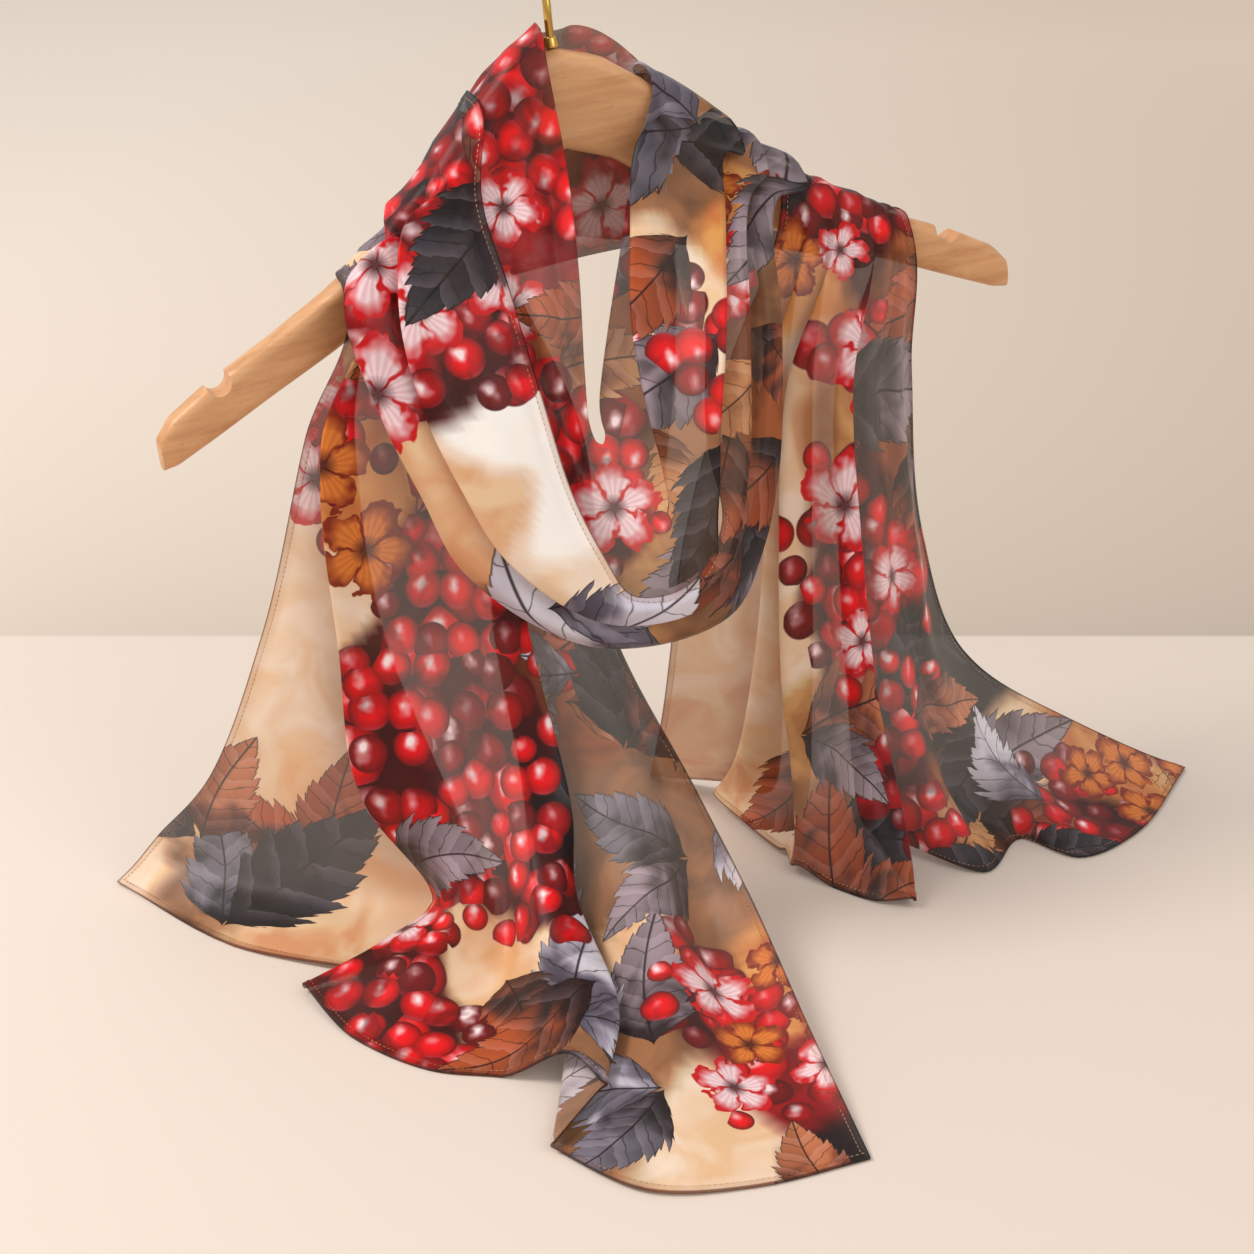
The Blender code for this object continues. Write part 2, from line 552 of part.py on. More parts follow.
def build_hanger():
    sides = [-out for out in reversed(WOOD_CUTS)] + list(WOOD_CUTS[1:])
    mesh = mesh_from_grid("hanger", [wood_section(side) for side in sides], closed=True)
    hanger = add_object("hanger", mesh, "wood")
    for side in (-NOTCH_AT, NOTCH_AT):
        wood = wood_at(side)
        slope = math.copysign(NOTCH_SLOPE, -side)
        bpy.ops.mesh.primitive_cylinder_add(
            radius=NOTCH_RADIUS * MM, depth=NOTCH_LENGTH * MM, vertices=ROUND_SIDES)
        cutter = bpy.context.object
        cutter.name = "cut_notch_left" if side < 0 else "cut_notch_right"
        for owner in list(cutter.users_collection):
            owner.objects.unlink(cutter)
        cutters.objects.link(cutter)
        height = wood.top + NOTCH_RADIUS - NOTCH_DEPTH
        turn = Matrix.Rotation(HANGER_TURN, 4, "Z") @ Matrix.Rotation(-HANGER_TILT - slope, 4, "Y")
        lie_down = Matrix.Rotation(math.pi / 2, 4, "X")
        place = Matrix.Translation(hanger_to_frame(side, 0, height) * MM)
        cutter.matrix_world = place @ turn @ lie_down
        cutter.hide_render = True
        cutter.display_type = "WIRE"
        cut = hanger.modifiers.new("Notch", "BOOLEAN")
        cut.operation = "DIFFERENCE"
        cut.solver = "EXACT"
        cut.object = cutter


def build_hook():
    """The ferrule on the wood, and the rod that ends in the open hook."""
    up = hanger_to_frame(0, 0, 1) - hanger_to_frame(0, 0, 0)
    base = hanger_to_frame(0, 0, SEAT_GAP)
    turn = up.to_track_quat("Z", "Y").to_matrix().to_4x4()
    bpy.ops.mesh.primitive_cone_add(
        radius1=FERRULE_RADIUS * MM, radius2=FERRULE_NECK * MM,
        depth=FERRULE_HEIGHT * MM, vertices=ROUND_SIDES)
    ferrule = bpy.context.object
    ferrule.matrix_world = Matrix.Translation((base + up * FERRULE_HEIGHT / 2) * MM) @ turn
    ferrule.name = "hook_ferrule"
    ferrule.data.name = "hook_ferrule"
    for owner in list(ferrule.users_collection):
        owner.objects.unlink(ferrule)
    collection.objects.link(ferrule)
    ferrule.data.materials.append(looks["brass"])

    middle_radius = HOOK_RADIUS + ROD_RADIUS
    centre = Vector((0, 0, -HOOK_RADIUS))
    foot = base + up * (FERRULE_HEIGHT + SEAT_GAP)
    along = (Matrix.Rotation(HANGER_TURN, 3, "Z") @ Vector((1, 0, 0))).normalized()
    rise = Vector((0, 0, 1))
    out, below = ROD_BEND
    bend = centre + along * out - rise * (middle_radius + below)
    route = [foot, foot + up * ROD_RISE, bend]
    for angle in spread(HOOK_STEPS + 1, HOOK_START, HOOK_END):
        route.append(centre + along * (middle_radius * math.cos(angle))
                     + rise * (middle_radius * math.sin(angle)))
    curve = bpy.data.curves.new("hook", "CURVE")
    curve.dimensions = "3D"
    curve.bevel_depth = ROD_RADIUS * MM
    curve.bevel_resolution = 2
    curve.use_fill_caps = True
    curve.resolution_u = 1
    curve.render_resolution_u = 1
    spline = curve.splines.new("POLY")
    spline.points.add(len(route) - 1)
    for point, place in zip(spline.points, route):
        point.co = (*(place * MM), 1)
    hook = bpy.data.objects.new("hook", curve)
    collection.objects.link(hook)
    curve.materials.append(looks["brass"])


for old in list(bpy.data.objects):
    bpy.data.objects.remove(old, do_unlink=True)
collection = bpy.data.collections.new("chiffon_scarf_on_hanger")
cutters = bpy.data.collections.new("cutters")
bpy.context.scene.collection.children.link(collection)
bpy.context.scene.collection.children.link(cutters)
looks = {name: material(name) for name in COLOURS}

build_hanger()
build_hook()
build_tails()
build_crossings()
build_loop()
bpy.context.view_layer.update()
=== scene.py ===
"""The looks of a chiffon scarf wound once round a wooden hanger, both ends spread on a table.

Each stretch of the cloth is a thin shell through the same fold lines as its solid, with finer
folds, hems and creases, and one printed chiffon. Tables hold millimetres.
"""
import math
import random
from collections import namedtuple
from functools import partial

import bpy
import numpy as np
from mathutils import Matrix, Vector


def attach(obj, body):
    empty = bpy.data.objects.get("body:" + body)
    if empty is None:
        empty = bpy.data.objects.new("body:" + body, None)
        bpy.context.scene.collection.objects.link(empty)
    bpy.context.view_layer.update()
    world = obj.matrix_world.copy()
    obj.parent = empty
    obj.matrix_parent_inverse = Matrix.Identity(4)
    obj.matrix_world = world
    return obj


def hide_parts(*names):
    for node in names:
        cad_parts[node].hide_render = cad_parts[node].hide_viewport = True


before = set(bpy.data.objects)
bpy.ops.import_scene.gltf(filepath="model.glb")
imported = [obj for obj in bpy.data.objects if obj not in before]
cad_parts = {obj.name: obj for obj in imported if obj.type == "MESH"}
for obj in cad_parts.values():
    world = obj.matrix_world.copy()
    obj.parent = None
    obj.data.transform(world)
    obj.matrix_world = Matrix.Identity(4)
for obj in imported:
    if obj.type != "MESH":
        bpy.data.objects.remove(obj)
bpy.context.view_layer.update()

MM = 0.001

# ---------------------------------------------------------------- sizes of the drape, in mm
TABLE = -500.0                 # height of the table top below the inside of the hook
CHIFFON = 0.4                  # drawn thickness of the cloth
HEM_THICK = 1.3                # thickness of the rolled hem
HEM_STOPS = (0.7, 3.9, 5.0)    # mesh lines of a hem, from its edge inwards
STITCH_AT = 3.3                # the hem's line of stitches, from its edge
STITCH_PITCH = 2.6
STITCH_SIZE = (0.95, 0.2, 0.16)    # half length, half width and half height of a stitch
NO_HEM = 99.0                  # distance that stands for no hemmed edge near
TAIL_FOLD = 2.0                # half the thickness of a pressed fold at its edge, in a tail
LOOP_FOLD = 1.3                # the same in the loop
ARM_FOLD = 1.0                 # the same where the cloth is drawn tight over an arm
FOLD_SHARE = 0.2               # and never more than this share of the cloth beside the edge
FREE_GAP = 0.4                 # air between the hem and the table's plane
LOWEST = TABLE + FREE_GAP + HEM_THICK / 2      # the cloth's middle where it lies on the table
ROW_STEP = 4.5                 # longest mesh row along the cloth
SPAN_CUTS = 9                  # mesh columns from one fold line to the next
FOLD_CUTS = 3                  # mesh columns on each half of a pressed fold
LEAST_KNOT = 0.05              # keeps two knots apart where two fold lines meet
TIE_BREAK = 1e-6               # keeps equal fold numbers in rising order

HANGER_TOP = Vector((8.0, 0.0, -82.0))     # middle of the wood's upper edge
HANGER_TURN = math.radians(22.5)           # left end turned to the front
HANGER_TILT = math.radians(5.8)            # left end hangs lower
ARM_BOW = math.tan(math.radians(9.5))      # each arm bends forward by this much per mm
BOW_ROUND = 30.0                           # the bend is rounded over this half width
WOOD_ROUND = 9.0                           # depth of the rounding on the wood's edges
WOOD_SQUARE = 2 / 3                        # power of the rounding: 1 is round, less is squarer
WOOD_SIDES = 44                            # faces round the wood
WOOD_CUTS = (*range(0, 206, 6), 208, 211, 214, 216, 218, 220)  # its mesh rings, from the middle
WOOD_EASE = 0.8                            # bevel of its sharp edges
NOTCH_AT = 190.0                           # notch for a strap, near each end
NOTCH_RADIUS = 6.0
NOTCH_DEPTH = 7.0
NOTCH_SLOPE = math.atan2(16, 31)           # fall of the arm's upper edge there
NOTCH_CUTTER = 60.0                        # length of the round cutter

ROD_RADIUS = 2.0
HOOK_RADIUS = 19.0             # inside radius of the hook
HOOK_START = math.radians(-62) # where the round of the hook starts, from its level side
HOOK_END = math.radians(205)
HOOK_CUTS = 49                 # points on the round of the hook
ROD_CUTS = 8                   # and on each length of the rod below it
ROD_RISE = 14.0                # straight length of the rod above its ferrule
ROD_BEND = (6.0, 8.0)          # the rod's bend: out from the middle, and below the round
ROD_SUNK = 1.0                 # how far the rod's foot is in the ferrule
FERRULE_RADIUS = 4.0
FERRULE_NECK = 2.8             # radius of its narrow upper end
FERRULE_HEIGHT = 5.0
FERRULE_EASE = 0.5             # bevel of its edges
SEAT_GAP = 0.3                 # air between the wood and the ferrule


def rows(kind, *values):
    """A table's rows as named tuples of one kind."""
    return [kind(*row) for row in values]


# hanger sections: distance from the middle, height of the upper and lower edge, thickness
WoodSection = namedtuple("WoodSection", "out top bottom thick")
WOOD = rows(
    WoodSection,
    (0, 0, -48, 21),
    (23, -7, -56, 21),
    (43, -21, -70, 20.5),
    (60, -38, -82, 20),
    (78, -56, -93, 19.5),
    (100, -73, -104, 19),
    (134, -92, -119, 18),
    (164, -106, -131, 17),
    (195, -119, -144, 16),
    (215, -130, -152, 15),
    (222, -138, -153, 11)
)

# Where a sheet lies on an arm. angle: 0 is the front face, 90 the top, 180 the back. opened: how
# much of the way a fold has moved there from its place in front to its place on the seam.
ArmStop = namedtuple("ArmStop", "angle opened")
LOOP_STOPS = rows(ArmStop, (135, 0.5), (92, 0.25), (54, 0.1), (22, 0))
TAIL_STOPS = rows(ArmStop, (145, 0.5), (112, 0.2), (82, 0), (55, 0), (25, 0))

# Where one stretch of cloth meets the next, on the back of an arm. Places along the arm, depths
# below its upper edge and the lean from straight down towards the middle run evenly from the
# first fold line to the last.
Seam = namedtuple("Seam", "side_a side_b drop_a drop_b lean_a lean_b off")
SEAM_TAIL_LEFT = Seam(-54, -113, 20, 22, 50, 35, 1.6)
SEAM_LOOP_LEFT = Seam(0, -78, -5, 20, 90, 40, 3.8)
SEAM_LOOP_RIGHT = Seam(42, 99, 20, 22, 45, 35, 1.6)
SEAM_TAIL_RIGHT = Seam(104, 162, 20, 22, 45, 35, 1.6)
SEAM_REACH = 7.0               # how far from its seam a sheet still runs straight
INNER_SHARE = 0.43             # the share of a loop seam where the inner sheet ends
OUTER_SHARE = 0.51             # and where the outer sheet starts

# Columns of the fold tables. side: place along the arm (left negative). off: how far the
# sheet's middle lies off the wood. lift: more of it, on top only. edge: a pressed fold that
# turns back on itself. Every other column is a place (x, y) or (x, y, z) that the line passes.
LEVELS_LEFT = dict(chest=-250, hip=-350, knee=-430)
TailFold = namedtuple("TailFold", "name side off lift edge chest hip knee foot toe hem")
TAIL_LEFT = rows(
    TailFold,
    ("near hem", -62, 1.6, 0, 0, (19, -38), (36, -70), (80, -97),
     (105, -138, -466), (127, -220, -486), (147, -302, 0)),
    ("leaf trough", -67, 1.5, 0, 0, (10, -36), (26, -60), (66, -92),
     (80, -138, -478), (98, -213, -492), (98, -322, 0)),
    ("leaf crest", -72, 2.4, 0, 0, (-2, -46), (16, -76), (50, -106),
     (58, -158, -461), (64, -235, -482), (52, -326, 1)),
    ("roll trough", -77, 1.8, 0, 1, (-22, -46), (-22, -66), (-8, -84),
     (0, -120, -489), (15, -214, -494), (12, -297, 3)),
    ("roll edge", -80, 2.6, 0, 1, (-18, -60), (-3, -84), (17, -110),
     (20, -138, -463), (40, -212, -477), (35, -264, 12)),
    ("roll top", -85, 2.4, 0, 0, (-28, -62), (-13, -86), (8, -116),
     (12, -155, -460), (22, -206, -471), (18, -248, 18)),
    ("middle crest", -91, 2.4, 0, 0, (-37, -66), (-24, -88), (-4, -116),
     (2, -164, -468), (-2, -203, -487), (-12, -239, 0)),
    ("flower trough", -98, 1.6, 0, 0, (-54, -70), (-44, -80), (-24, -102),
     (-14, -146, -485), (-30, -190, -495), (-45, -233, 0)),
    ("flower crest", -105, 2.6, 0, 0, (-77, -84), (-68, -92), (-46, -114),
     (-38, -137, -466), (-58, -173, -484), (-84, -204, 0)),
    ("front edge", -111, 3, 0, 1, (-98, -93), (-94, -98), (-84, -105),
     (-53, -103, -480), (-73, -140, -485), (-110, -165, 4)),
    ("side trough", -115, 1.6, 0, 1, (-84, -78), (-74, -78), (-46, -82),
     (-22, -92, -491), (-42, -130, -494), (-88, -150, 3)),
    ("side panel", -119, 1.5, 0, 0, (-98, -82), (-108, -82), (-112, -84),
     (-126, -82, -482), (-140, -100, -493), (-150, -121, 0)),
    ("long hem", -124, 1.5, 0, 0, (-107, -82), (-133, -78), (-165, -73),
     (-194, -57, -468), (-209, -56, -487), (-220, -55, 0))
)

LEVELS_RIGHT = dict(chest=-250, hip=-340, knee=-410)
TAIL_RIGHT = rows(
    TailFold,
    ("inner hem", 103, 1.6, 3, 0, (94, 24), (73, 18), (66, 20),
     (61, 40, -462), (58, 56, -486), (57, 73, 0)),
    ("sheer trough", 111, 1.6, 3, 1, (126, 24), (130, 20), (128, 20),
     (124, 28, -486), (116, 38, -492), (108, 50, 4)),
    ("sheer edge", 116, 2.6, 3, 1, (115, 12), (115, 6), (110, 6),
     (101, 20, -468), (96, 28, -481), (92, 34, 9)),
    ("cream trough", 124, 1.6, 3, 1, (138, 11), (140, 5), (142, 3),
     (140, 2, -486), (134, -10, -493), (126, -24, 3)),
    ("cream edge", 129, 3, 3, 1, (124, 0), (122, -7), (125, -13),
     (131, -24, -458), (132, -36, -480), (131, -46, 5)),
    ("vine trough", 135, 1.8, 3, 0, (139, 2), (143, -2), (148, -9),
     (152, -34, -474), (151, -50, -492), (150, -60, 0)),
    ("vine crest", 141, 2.8, 2, 0, (149, -6), (156, -13), (164, -23),
     (170, -50, -464), (171, -66, -486), (170, -75, 0)),
    ("vine edge", 147, 3.2, 2, 1, (157, -1), (165, -7), (174, -17),
     (187, -44, -466), (190, -66, -484), (190, -82, 5)),
    ("side trough", 151, 1.8, 2, 1, (150, 16), (154, 14), (160, 10),
     (170, -4, -489), (176, -12, -493), (182, -16, 3)),
    ("leaf crest", 156, 2.6, 1, 0, (167, 8), (175, 4), (187, -4),
     (211, -22, -472), (222, -34, -488), (231, -44, 0)),
    ("leaf trough", 160, 1.6, 1, 0, (173, 18), (183, 16), (199, 13),
     (228, 10, -489), (244, 2, -496), (256, -5, 0)),
    ("corner crest", 163, 2.6, 1, 0, (182, 14), (194, 12), (207, 9),
     (246, 14, -472), (268, -6, -490), (283, -27, 0)),
    ("corner trough", 166, 1.6, 1, 0, (185, 26), (197, 26), (215, 25),
     (268, 34, -480), (296, 20, -492), (320, 2, 0)),
    ("outer hem", 169, 1.8, 1, 0, (190, 36), (200, 38), (226, 45),
     (288, 58, -456), (326, 70, -479), (363, 83, 0))
)

# The loop in front. Columns from the left arm round the bottom to the right arm. left, loff and
# llift are the side, off and lift on the left arm, and right, roff and rlift on the right arm.
OuterFold = namedtuple("OuterFold", "name left loff llift edge shoulder chest waist low turn bottom"
                       " rturn rmid rlow rchest rshoulder right roff rlift")
LOOP_OUTER = rows(
    OuterFold,
    ("stitched hem", -44, 6.8, 0, 0, (-24, -48, -140), (-11, -68, -181), (5, -88, -230),
     (18, -100, -270), (33, -108, -299), (50, -111, -319), (79, -105, -308),
     (89, -90, -288), (83, -66, -262), (82, -38, -207), (83, -7, -150), 77, 1.6, 6),
    ("cream crest", -56, 6.6, 0, 0, (-42, -56, -145), (-33, -80, -181), (-19, -98, -227),
     (-5, -110, -266), (13, -117, -298), (45, -118, -322), (83, -106, -314),
     (93, -92, -292), (95, -72, -266), (97, -44, -207), (97, -14, -150), 88, 3.2, 8),
    ("cream edge", -70, 7.2, 0, 1, (-57, -67, -150), (-60, -88, -180), (-49, -103, -231),
     (-32, -113, -265), (-12, -119, -297), (37, -117, -330), (86, -104, -321),
     (97, -91, -297), (102, -70, -270), (103, -41, -208), (103, -13, -151), 96, 5.0, 9),
    ("under trough", -78, 5.6, 0, 1, (-54, -59, -157), (-55, -79, -183), (-41, -92, -226),
     (-22, -102, -259), (-1, -108, -290), (38, -107, -324), (86, -94, -317),
     (96, -81, -294), (101, -60, -268), (102, -31, -208), (101, -3, -151), 99, 2.6, 8),
    ("leaf edge", -91, 6.4, 0, 0, (-71, -69, -161), (-77, -90, -182), (-61, -101, -235),
     (-44, -108, -270), (-24, -113, -305), (33, -112, -341), (91, -96, -330),
     (104, -80, -303), (110, -63, -276), (112, -36, -210), (109, -6, -152), 106, 4.8, 7),
    ("outer edge", -103, 7.6, -1, 1, (-81, -73, -171), (-85, -90, -187), (-68, -98, -238),
     (-52, -102, -271), (-32, -105, -309), (31, -104, -347), (96, -87, -335),
     (110, -72, -308), (117, -56, -278), (119, -29, -211), (117, -4, -153), 115, 7.0, 5),
    ("inner return", -96, 5, 0, 0, (-71, -63, -173), (-73, -82, -190), (-56, -91, -239),
     (-41, -95, -268), (-22, -97, -300), (31, -95, -337), (89, -78, -325),
     (102, -62, -300), (108, -46, -274), (110, -20, -211), (109, 5, -154), 112, 4.4, 4)
)

InnerFold = namedtuple("InnerFold", "name left loff llift edge shoulder chest waist low turn bottom"
                       " rturn rmid rlow rchest rshoulder rneck right roff rlift")
LOOP_INNER = rows(
    InnerFold,
    ("gap edge", -8, 3.0, 11, 0, (14, -26, -124), (21, -52, -174), (24, -71, -222),
     (26, -79, -244), (29, -82, -251), (33, -81, -253), (34, -77, -250), (32, -72, -244),
     (31, -66, -236), (35, -46, -206), (41, -25, -172), (48, -10, -130), 44, 1.8, 6),
    ("gap trough", -16, 3.0, 8, 0, (6, -26, -126), (12, -50, -176), (17, -69, -226),
     (24, -78, -256), (33, -83, -268), (43, -84, -273), (54, -80, -268), (62, -74, -256),
     (66, -66, -240), (68, -43, -205), (67, -22, -166), (58, -8, -126), 49, 1.8, 7),
    ("panel edge", -26, 4.4, 4, 0, (-5, -34, -128), (2, -60, -178), (11, -79, -230),
     (23, -87, -268), (38, -92, -284), (54, -95, -292), (66, -93, -290), (62, -90, -266),
     (55, -83, -240), (47, -60, -204), (46, -38, -165), (50, -16, -122), 53, 3.6, 7),
    ("panel crease", -38, 3.6, 2, 0, (-18, -36, -130), (-10, -56, -179), (5, -76, -232),
     (20, -88, -277), (37, -96, -302), (57, -98, -316), (74, -94, -306), (73, -92, -272),
     (72, -80, -242), (69, -56, -206), (69, -34, -165), (70, -12, -124), 67, 3.6, 10),
    ("panel side", -50, 4.4, 0, 0, (-32, -42, -134), (-22, -59, -180), (-5, -78, -232),
     (12, -90, -280), (31, -99, -315), (58, -101, -333), (82, -92, -320), (87, -86, -284),
     (88, -80, -248), (91, -57, -206), (91, -28, -160), (91, -8, -130), 85, 5.6, 9)
)

# What crosses behind the hanger, from the seam on the left arm to the seam on the right arm
CrossingFold = namedtuple("CrossingFold", "name left middle right")
BACK = rows(
    CrossingFold,
    ("top", (-12, 4, -142), (12, 17, -134), (30, 22, -127)),
    ("first fold", (-22, 0, -153), (16, 22, -146), (42, 29, -140)),
    ("first trough", (-30, -12, -168), (18, 15, -158), (54, 30, -153)),
    ("second fold", (-38, -14, -181), (20, 21, -172), (66, 36, -165)),
    ("hem", (-44, -22, -196), (24, 16, -186), (80, 34, -178))
)
COLLAR = rows(
    CrossingFold,
    ("top", (18, 17, -74), (56, 36, -100), (84, 46, -138)),
    ("first trough", (8, 24, -92), (58, 44, -122), (94, 50, -152)),
    ("first fold", (-2, 22, -108), (62, 50, -140), (104, 53, -163)),
    ("second trough", (-12, 16, -127), (66, 50, -158), (114, 55, -174)),
    ("second fold", (-20, 10, -150), (70, 52, -174), (124, 58, -184)),
    ("hem", (-30, 2, -172), (74, 48, -188), (134, 60, -194))
)

# ---------------------------------------------------------------- creases placed one by one
# A crease runs from one fold-line number to another between two stations. bend: how far its
# middle swings to the side, in folds. lean: below 1 it is deepest near its start. width and
# depth in mm, and a negative depth is a trough.
Crease = namedtuple("Crease", "fold_a fold_b start end bend lean width depth")
CREASES = {
    "scarf_tail_left": rows(
        Crease,
        (11.3, 11.6, 7.0, 10.2, 0.10, 0.8, 14, 2.0), (10.6, 10.35, 7.4, 11.0, 0.05, 0.9, 12, -1.8),
        (11.75, 11.5, 9.2, 11.8, -0.1, 1.0, 16, 1.7), (10.3, 10.75, 9.6, 11.9, 0.0, 1.1, 15, 1.9),
        (9.45, 9.6, 7.2, 9.8, 0.0, 1.0, 8, 1.4), (8.5, 8.4, 7.1, 9.4, 0.05, 0.9, 7, -1.3),
        (8.55, 8.5, 9.5, 11.6, 0.0, 1.0, 8, 1.6), (7.5, 7.45, 7.2, 9.9, 0.0, 0.8, 7, 1.4),
        (7.6, 7.4, 10.0, 11.6, 0.0, 1.0, 8, -1.5), (6.45, 6.6, 8.2, 10.6, 0.0, 0.9, 6, 1.2),
        (6.3, 6.35, 9.8, 11.7, 0.0, 1.2, 7, -1.2), (2.35, 2.3, 7.6, 10.4, 0.05, 0.9, 9, 1.6),
        (2.7, 2.65, 8.4, 11.5, -0.05, 1.0, 10, -1.6), (3.5, 3.5, 8.0, 10.8, 0.0, 1.0, 8, 1.3),
        (1.5, 1.4, 9.6, 11.8, 0.0, 1.0, 9, 1.5), (0.5, 0.55, 10.4, 11.9, 0.0, 1.0, 8, -1.2),
        (1.45, 1.6, 7.2, 9.2, 0.0, 0.9, 5, 0.9), (2.5, 2.35, 11.0, 11.95, 0.0, 1.0, 9, 1.4)
    ),
    "scarf_tail_right": rows(
        Crease,
        (0.5, 0.45, 6.8, 10.2, 0.03, 0.8, 12, 2.0), (0.75, 0.7, 8.0, 11.6, 0.0, 1.0, 12, -1.6),
        (0.25, 0.3, 8.8, 11.8, 0.0, 1.0, 11, 1.4), (2.5, 2.4, 6.9, 9.6, 0.0, 0.9, 7, 1.5),
        (2.4, 2.65, 9.4, 11.8, 0.0, 1.0, 11, -1.6), (3.5, 3.5, 7.5, 10.8, 0.0, 1.0, 7, 1.2),
        (5.5, 5.45, 7.6, 10.6, 0.0, 1.0, 7, 1.3), (7.5, 7.5, 7.3, 9.8, 0.0, 1.0, 7, 1.4),
        (7.4, 7.6, 9.7, 11.7, 0.0, 1.0, 12, -1.5), (8.5, 8.55, 7.2, 10.0, 0.0, 0.9, 7, -1.3),
        (8.6, 8.35, 9.8, 11.8, 0.0, 1.0, 11, 1.7), (9.5, 9.5, 8.2, 11.2, 0.0, 1.0, 9, 1.3),
        (10.5, 10.5, 9.6, 11.6, 0.0, 1.0, 8, -1.1), (11.5, 11.5, 8.6, 11.4, 0.0, 1.0, 8, 1.3),
        (12.5, 12.4, 9.0, 10.9, 0.0, 1.0, 9, 1.3), (12.4, 12.7, 10.6, 11.8, 0.0, 1.0, 16, -1.5)
    ),
    "scarf_loop_outer": rows(
        Crease,
        (0.5, 0.45, 5.6, 9.4, 0.06, 0.9, 6, 1.2), (1.45, 1.5, 6.2, 10.0, -0.05, 0.9, 6, -1.1),
        (1.55, 1.6, 8.8, 11.2, 0.0, 1.0, 5, 0.9), (3.4, 3.6, 6.6, 10.4, 0.0, 1.0, 5, 1.0),
        (3.6, 3.4, 9.8, 12.6, 0.0, 1.0, 4, -0.7), (5.5, 5.5, 9.6, 12.8, 0.0, 1.0, 4, 0.8),
        (0.4, 0.6, 13.2, 16.0, 0.0, 1.0, 4, 0.8), (3.5, 3.5, 13.0, 15.6, 0.0, 1.0, 3.5, 0.6),
        (5.5, 5.4, 13.6, 16.4, 0.0, 1.0, 4, -0.6)
    ),
    "scarf_loop_inner": rows(
        Crease,
        (0.5, 0.5, 12.2, 16.4, 0.05, 1.0, 8, 1.5), (1.5, 1.45, 12.6, 16.6, 0.0, 0.9, 6, -1.1),
        (2.5, 2.5, 13.4, 18.2, 0.0, 1.0, 5, 1.0), (3.5, 3.45, 14.0, 18.6, 0.0, 1.0, 5, -0.9),
        (1.5, 1.5, 5.4, 9.0, 0.0, 1.0, 3.5, 0.7), (0.5, 0.6, 9.6, 12.0, 0.0, 1.0, 5, 0.9),
        (1.6, 1.4, 9.2, 11.8, 0.0, 1.0, 5, -0.8), (2.5, 2.4, 9.8, 12.2, 0.0, 1.0, 5, 0.8)
    ),
    "scarf_back": rows(
        Crease,
        (0.5, 0.6, 1.2, 4.8, 0.0, 1.0, 5, 0.9), (1.5, 1.4, 1.6, 5.0, 0.0, 1.0, 4, -0.7),
        (2.5, 2.6, 1.1, 4.4, 0.0, 1.0, 4, 0.7)
    ),
    "scarf_collar": rows(
        Crease,
        (0.5, 0.5, 0.8, 4.4, 0.0, 1.0, 5, 0.9), (2.5, 2.4, 1.2, 5.0, 0.0, 1.0, 4.5, -0.7),
        (3.5, 3.6, 0.8, 4.2, 0.0, 1.0, 5, 0.8)
    ),
}


# ---------------------------------------------------------------- curves through points
def hermite(a, b, slope_a, slope_b, width, share):
    """A cubic from a to b with the given slopes at its ends."""
    s2 = share * share
    s3 = s2 * share
    return (a * (2 * s3 - 3 * s2 + 1) + b * (3 * s2 - 2 * s3)
            + slope_a * (width * (s3 - 2 * s2 + share)) + slope_b * (width * (s3 - s2)))


def slopes_at(points, knots):
    """A slope for each point, so that a smooth curve passes through all of them."""
    last = len(points) - 1
    steps = [(points[i + 1] - points[i]) / (knots[i + 1] - knots[i]) for i in range(last)]
    slopes = [steps[0]]
    for i in range(1, last):
        before = knots[i] - knots[i - 1]
        after = knots[i + 1] - knots[i]
        slopes.append((steps[i - 1] * after + steps[i] * before) / (before + after))
    slopes.append(steps[-1])
    return slopes


def curve_point(points, knots, slopes, span, share):
    width = knots[span + 1] - knots[span]
    return hermite(points[span], points[span + 1], slopes[span], slopes[span + 1], width, share)


def shared_knots(lines):
    """Knots along the cloth that all its fold lines share: the mean length of each span."""
    knots = [0.0]
    for i in range(len(lines[0]) - 1):
        mean = sum((line[i + 1] - line[i]).length for line in lines) / len(lines)
        knots.append(knots[-1] + mean)
    return knots


# ---------------------------------------------------------------- the hanger's form
def wood_at(out):
    """The hanger's section at a distance from its middle, straight between the table's rows."""
    out = min(abs(out), WOOD[-1].out)
    for near, far in zip(WOOD, WOOD[1:]):
        if out <= far.out:
            share = (out - near.out) / (far.out - near.out)
            return WoodSection(*[a + (b - a) * share for a, b in zip(near, far)])
    return WOOD[-1]


def hanger_to_frame(side, depth, height):
    """A place in the hanger's own straight frame, bowed, tilted, turned and hung."""
    bowed = depth - ARM_BOW * (math.hypot(side, BOW_ROUND) - BOW_ROUND)
    place = Vector((side, bowed, height))
    turn = Matrix.Rotation(HANGER_TURN, 3, "Z") @ Matrix.Rotation(-HANGER_TILT, 3, "Y")
    return turn @ place + HANGER_TOP


def rounded(angle):
    """Cosine and sine of a squarish round, which is the section of the wood's edge."""
    def flat(value):
        return math.copysign(abs(value) ** WOOD_SQUARE, value)
    return flat(math.cos(angle)), flat(math.sin(angle))


def on_arm(side, degrees, off, lift=0.0):
    """A place just off the wood's upper edge, at an angle round it from front to back."""
    wood = wood_at(side)
    c, s = rounded(math.radians(degrees))
    depth = -c * (wood.thick / 2 + off)
    height = wood.top - WOOD_ROUND + s * (WOOD_ROUND + off + lift)
    return hanger_to_frame(side, depth, height)


def seam_side(seam, share):
    return seam.side_a + (seam.side_b - seam.side_a) * share


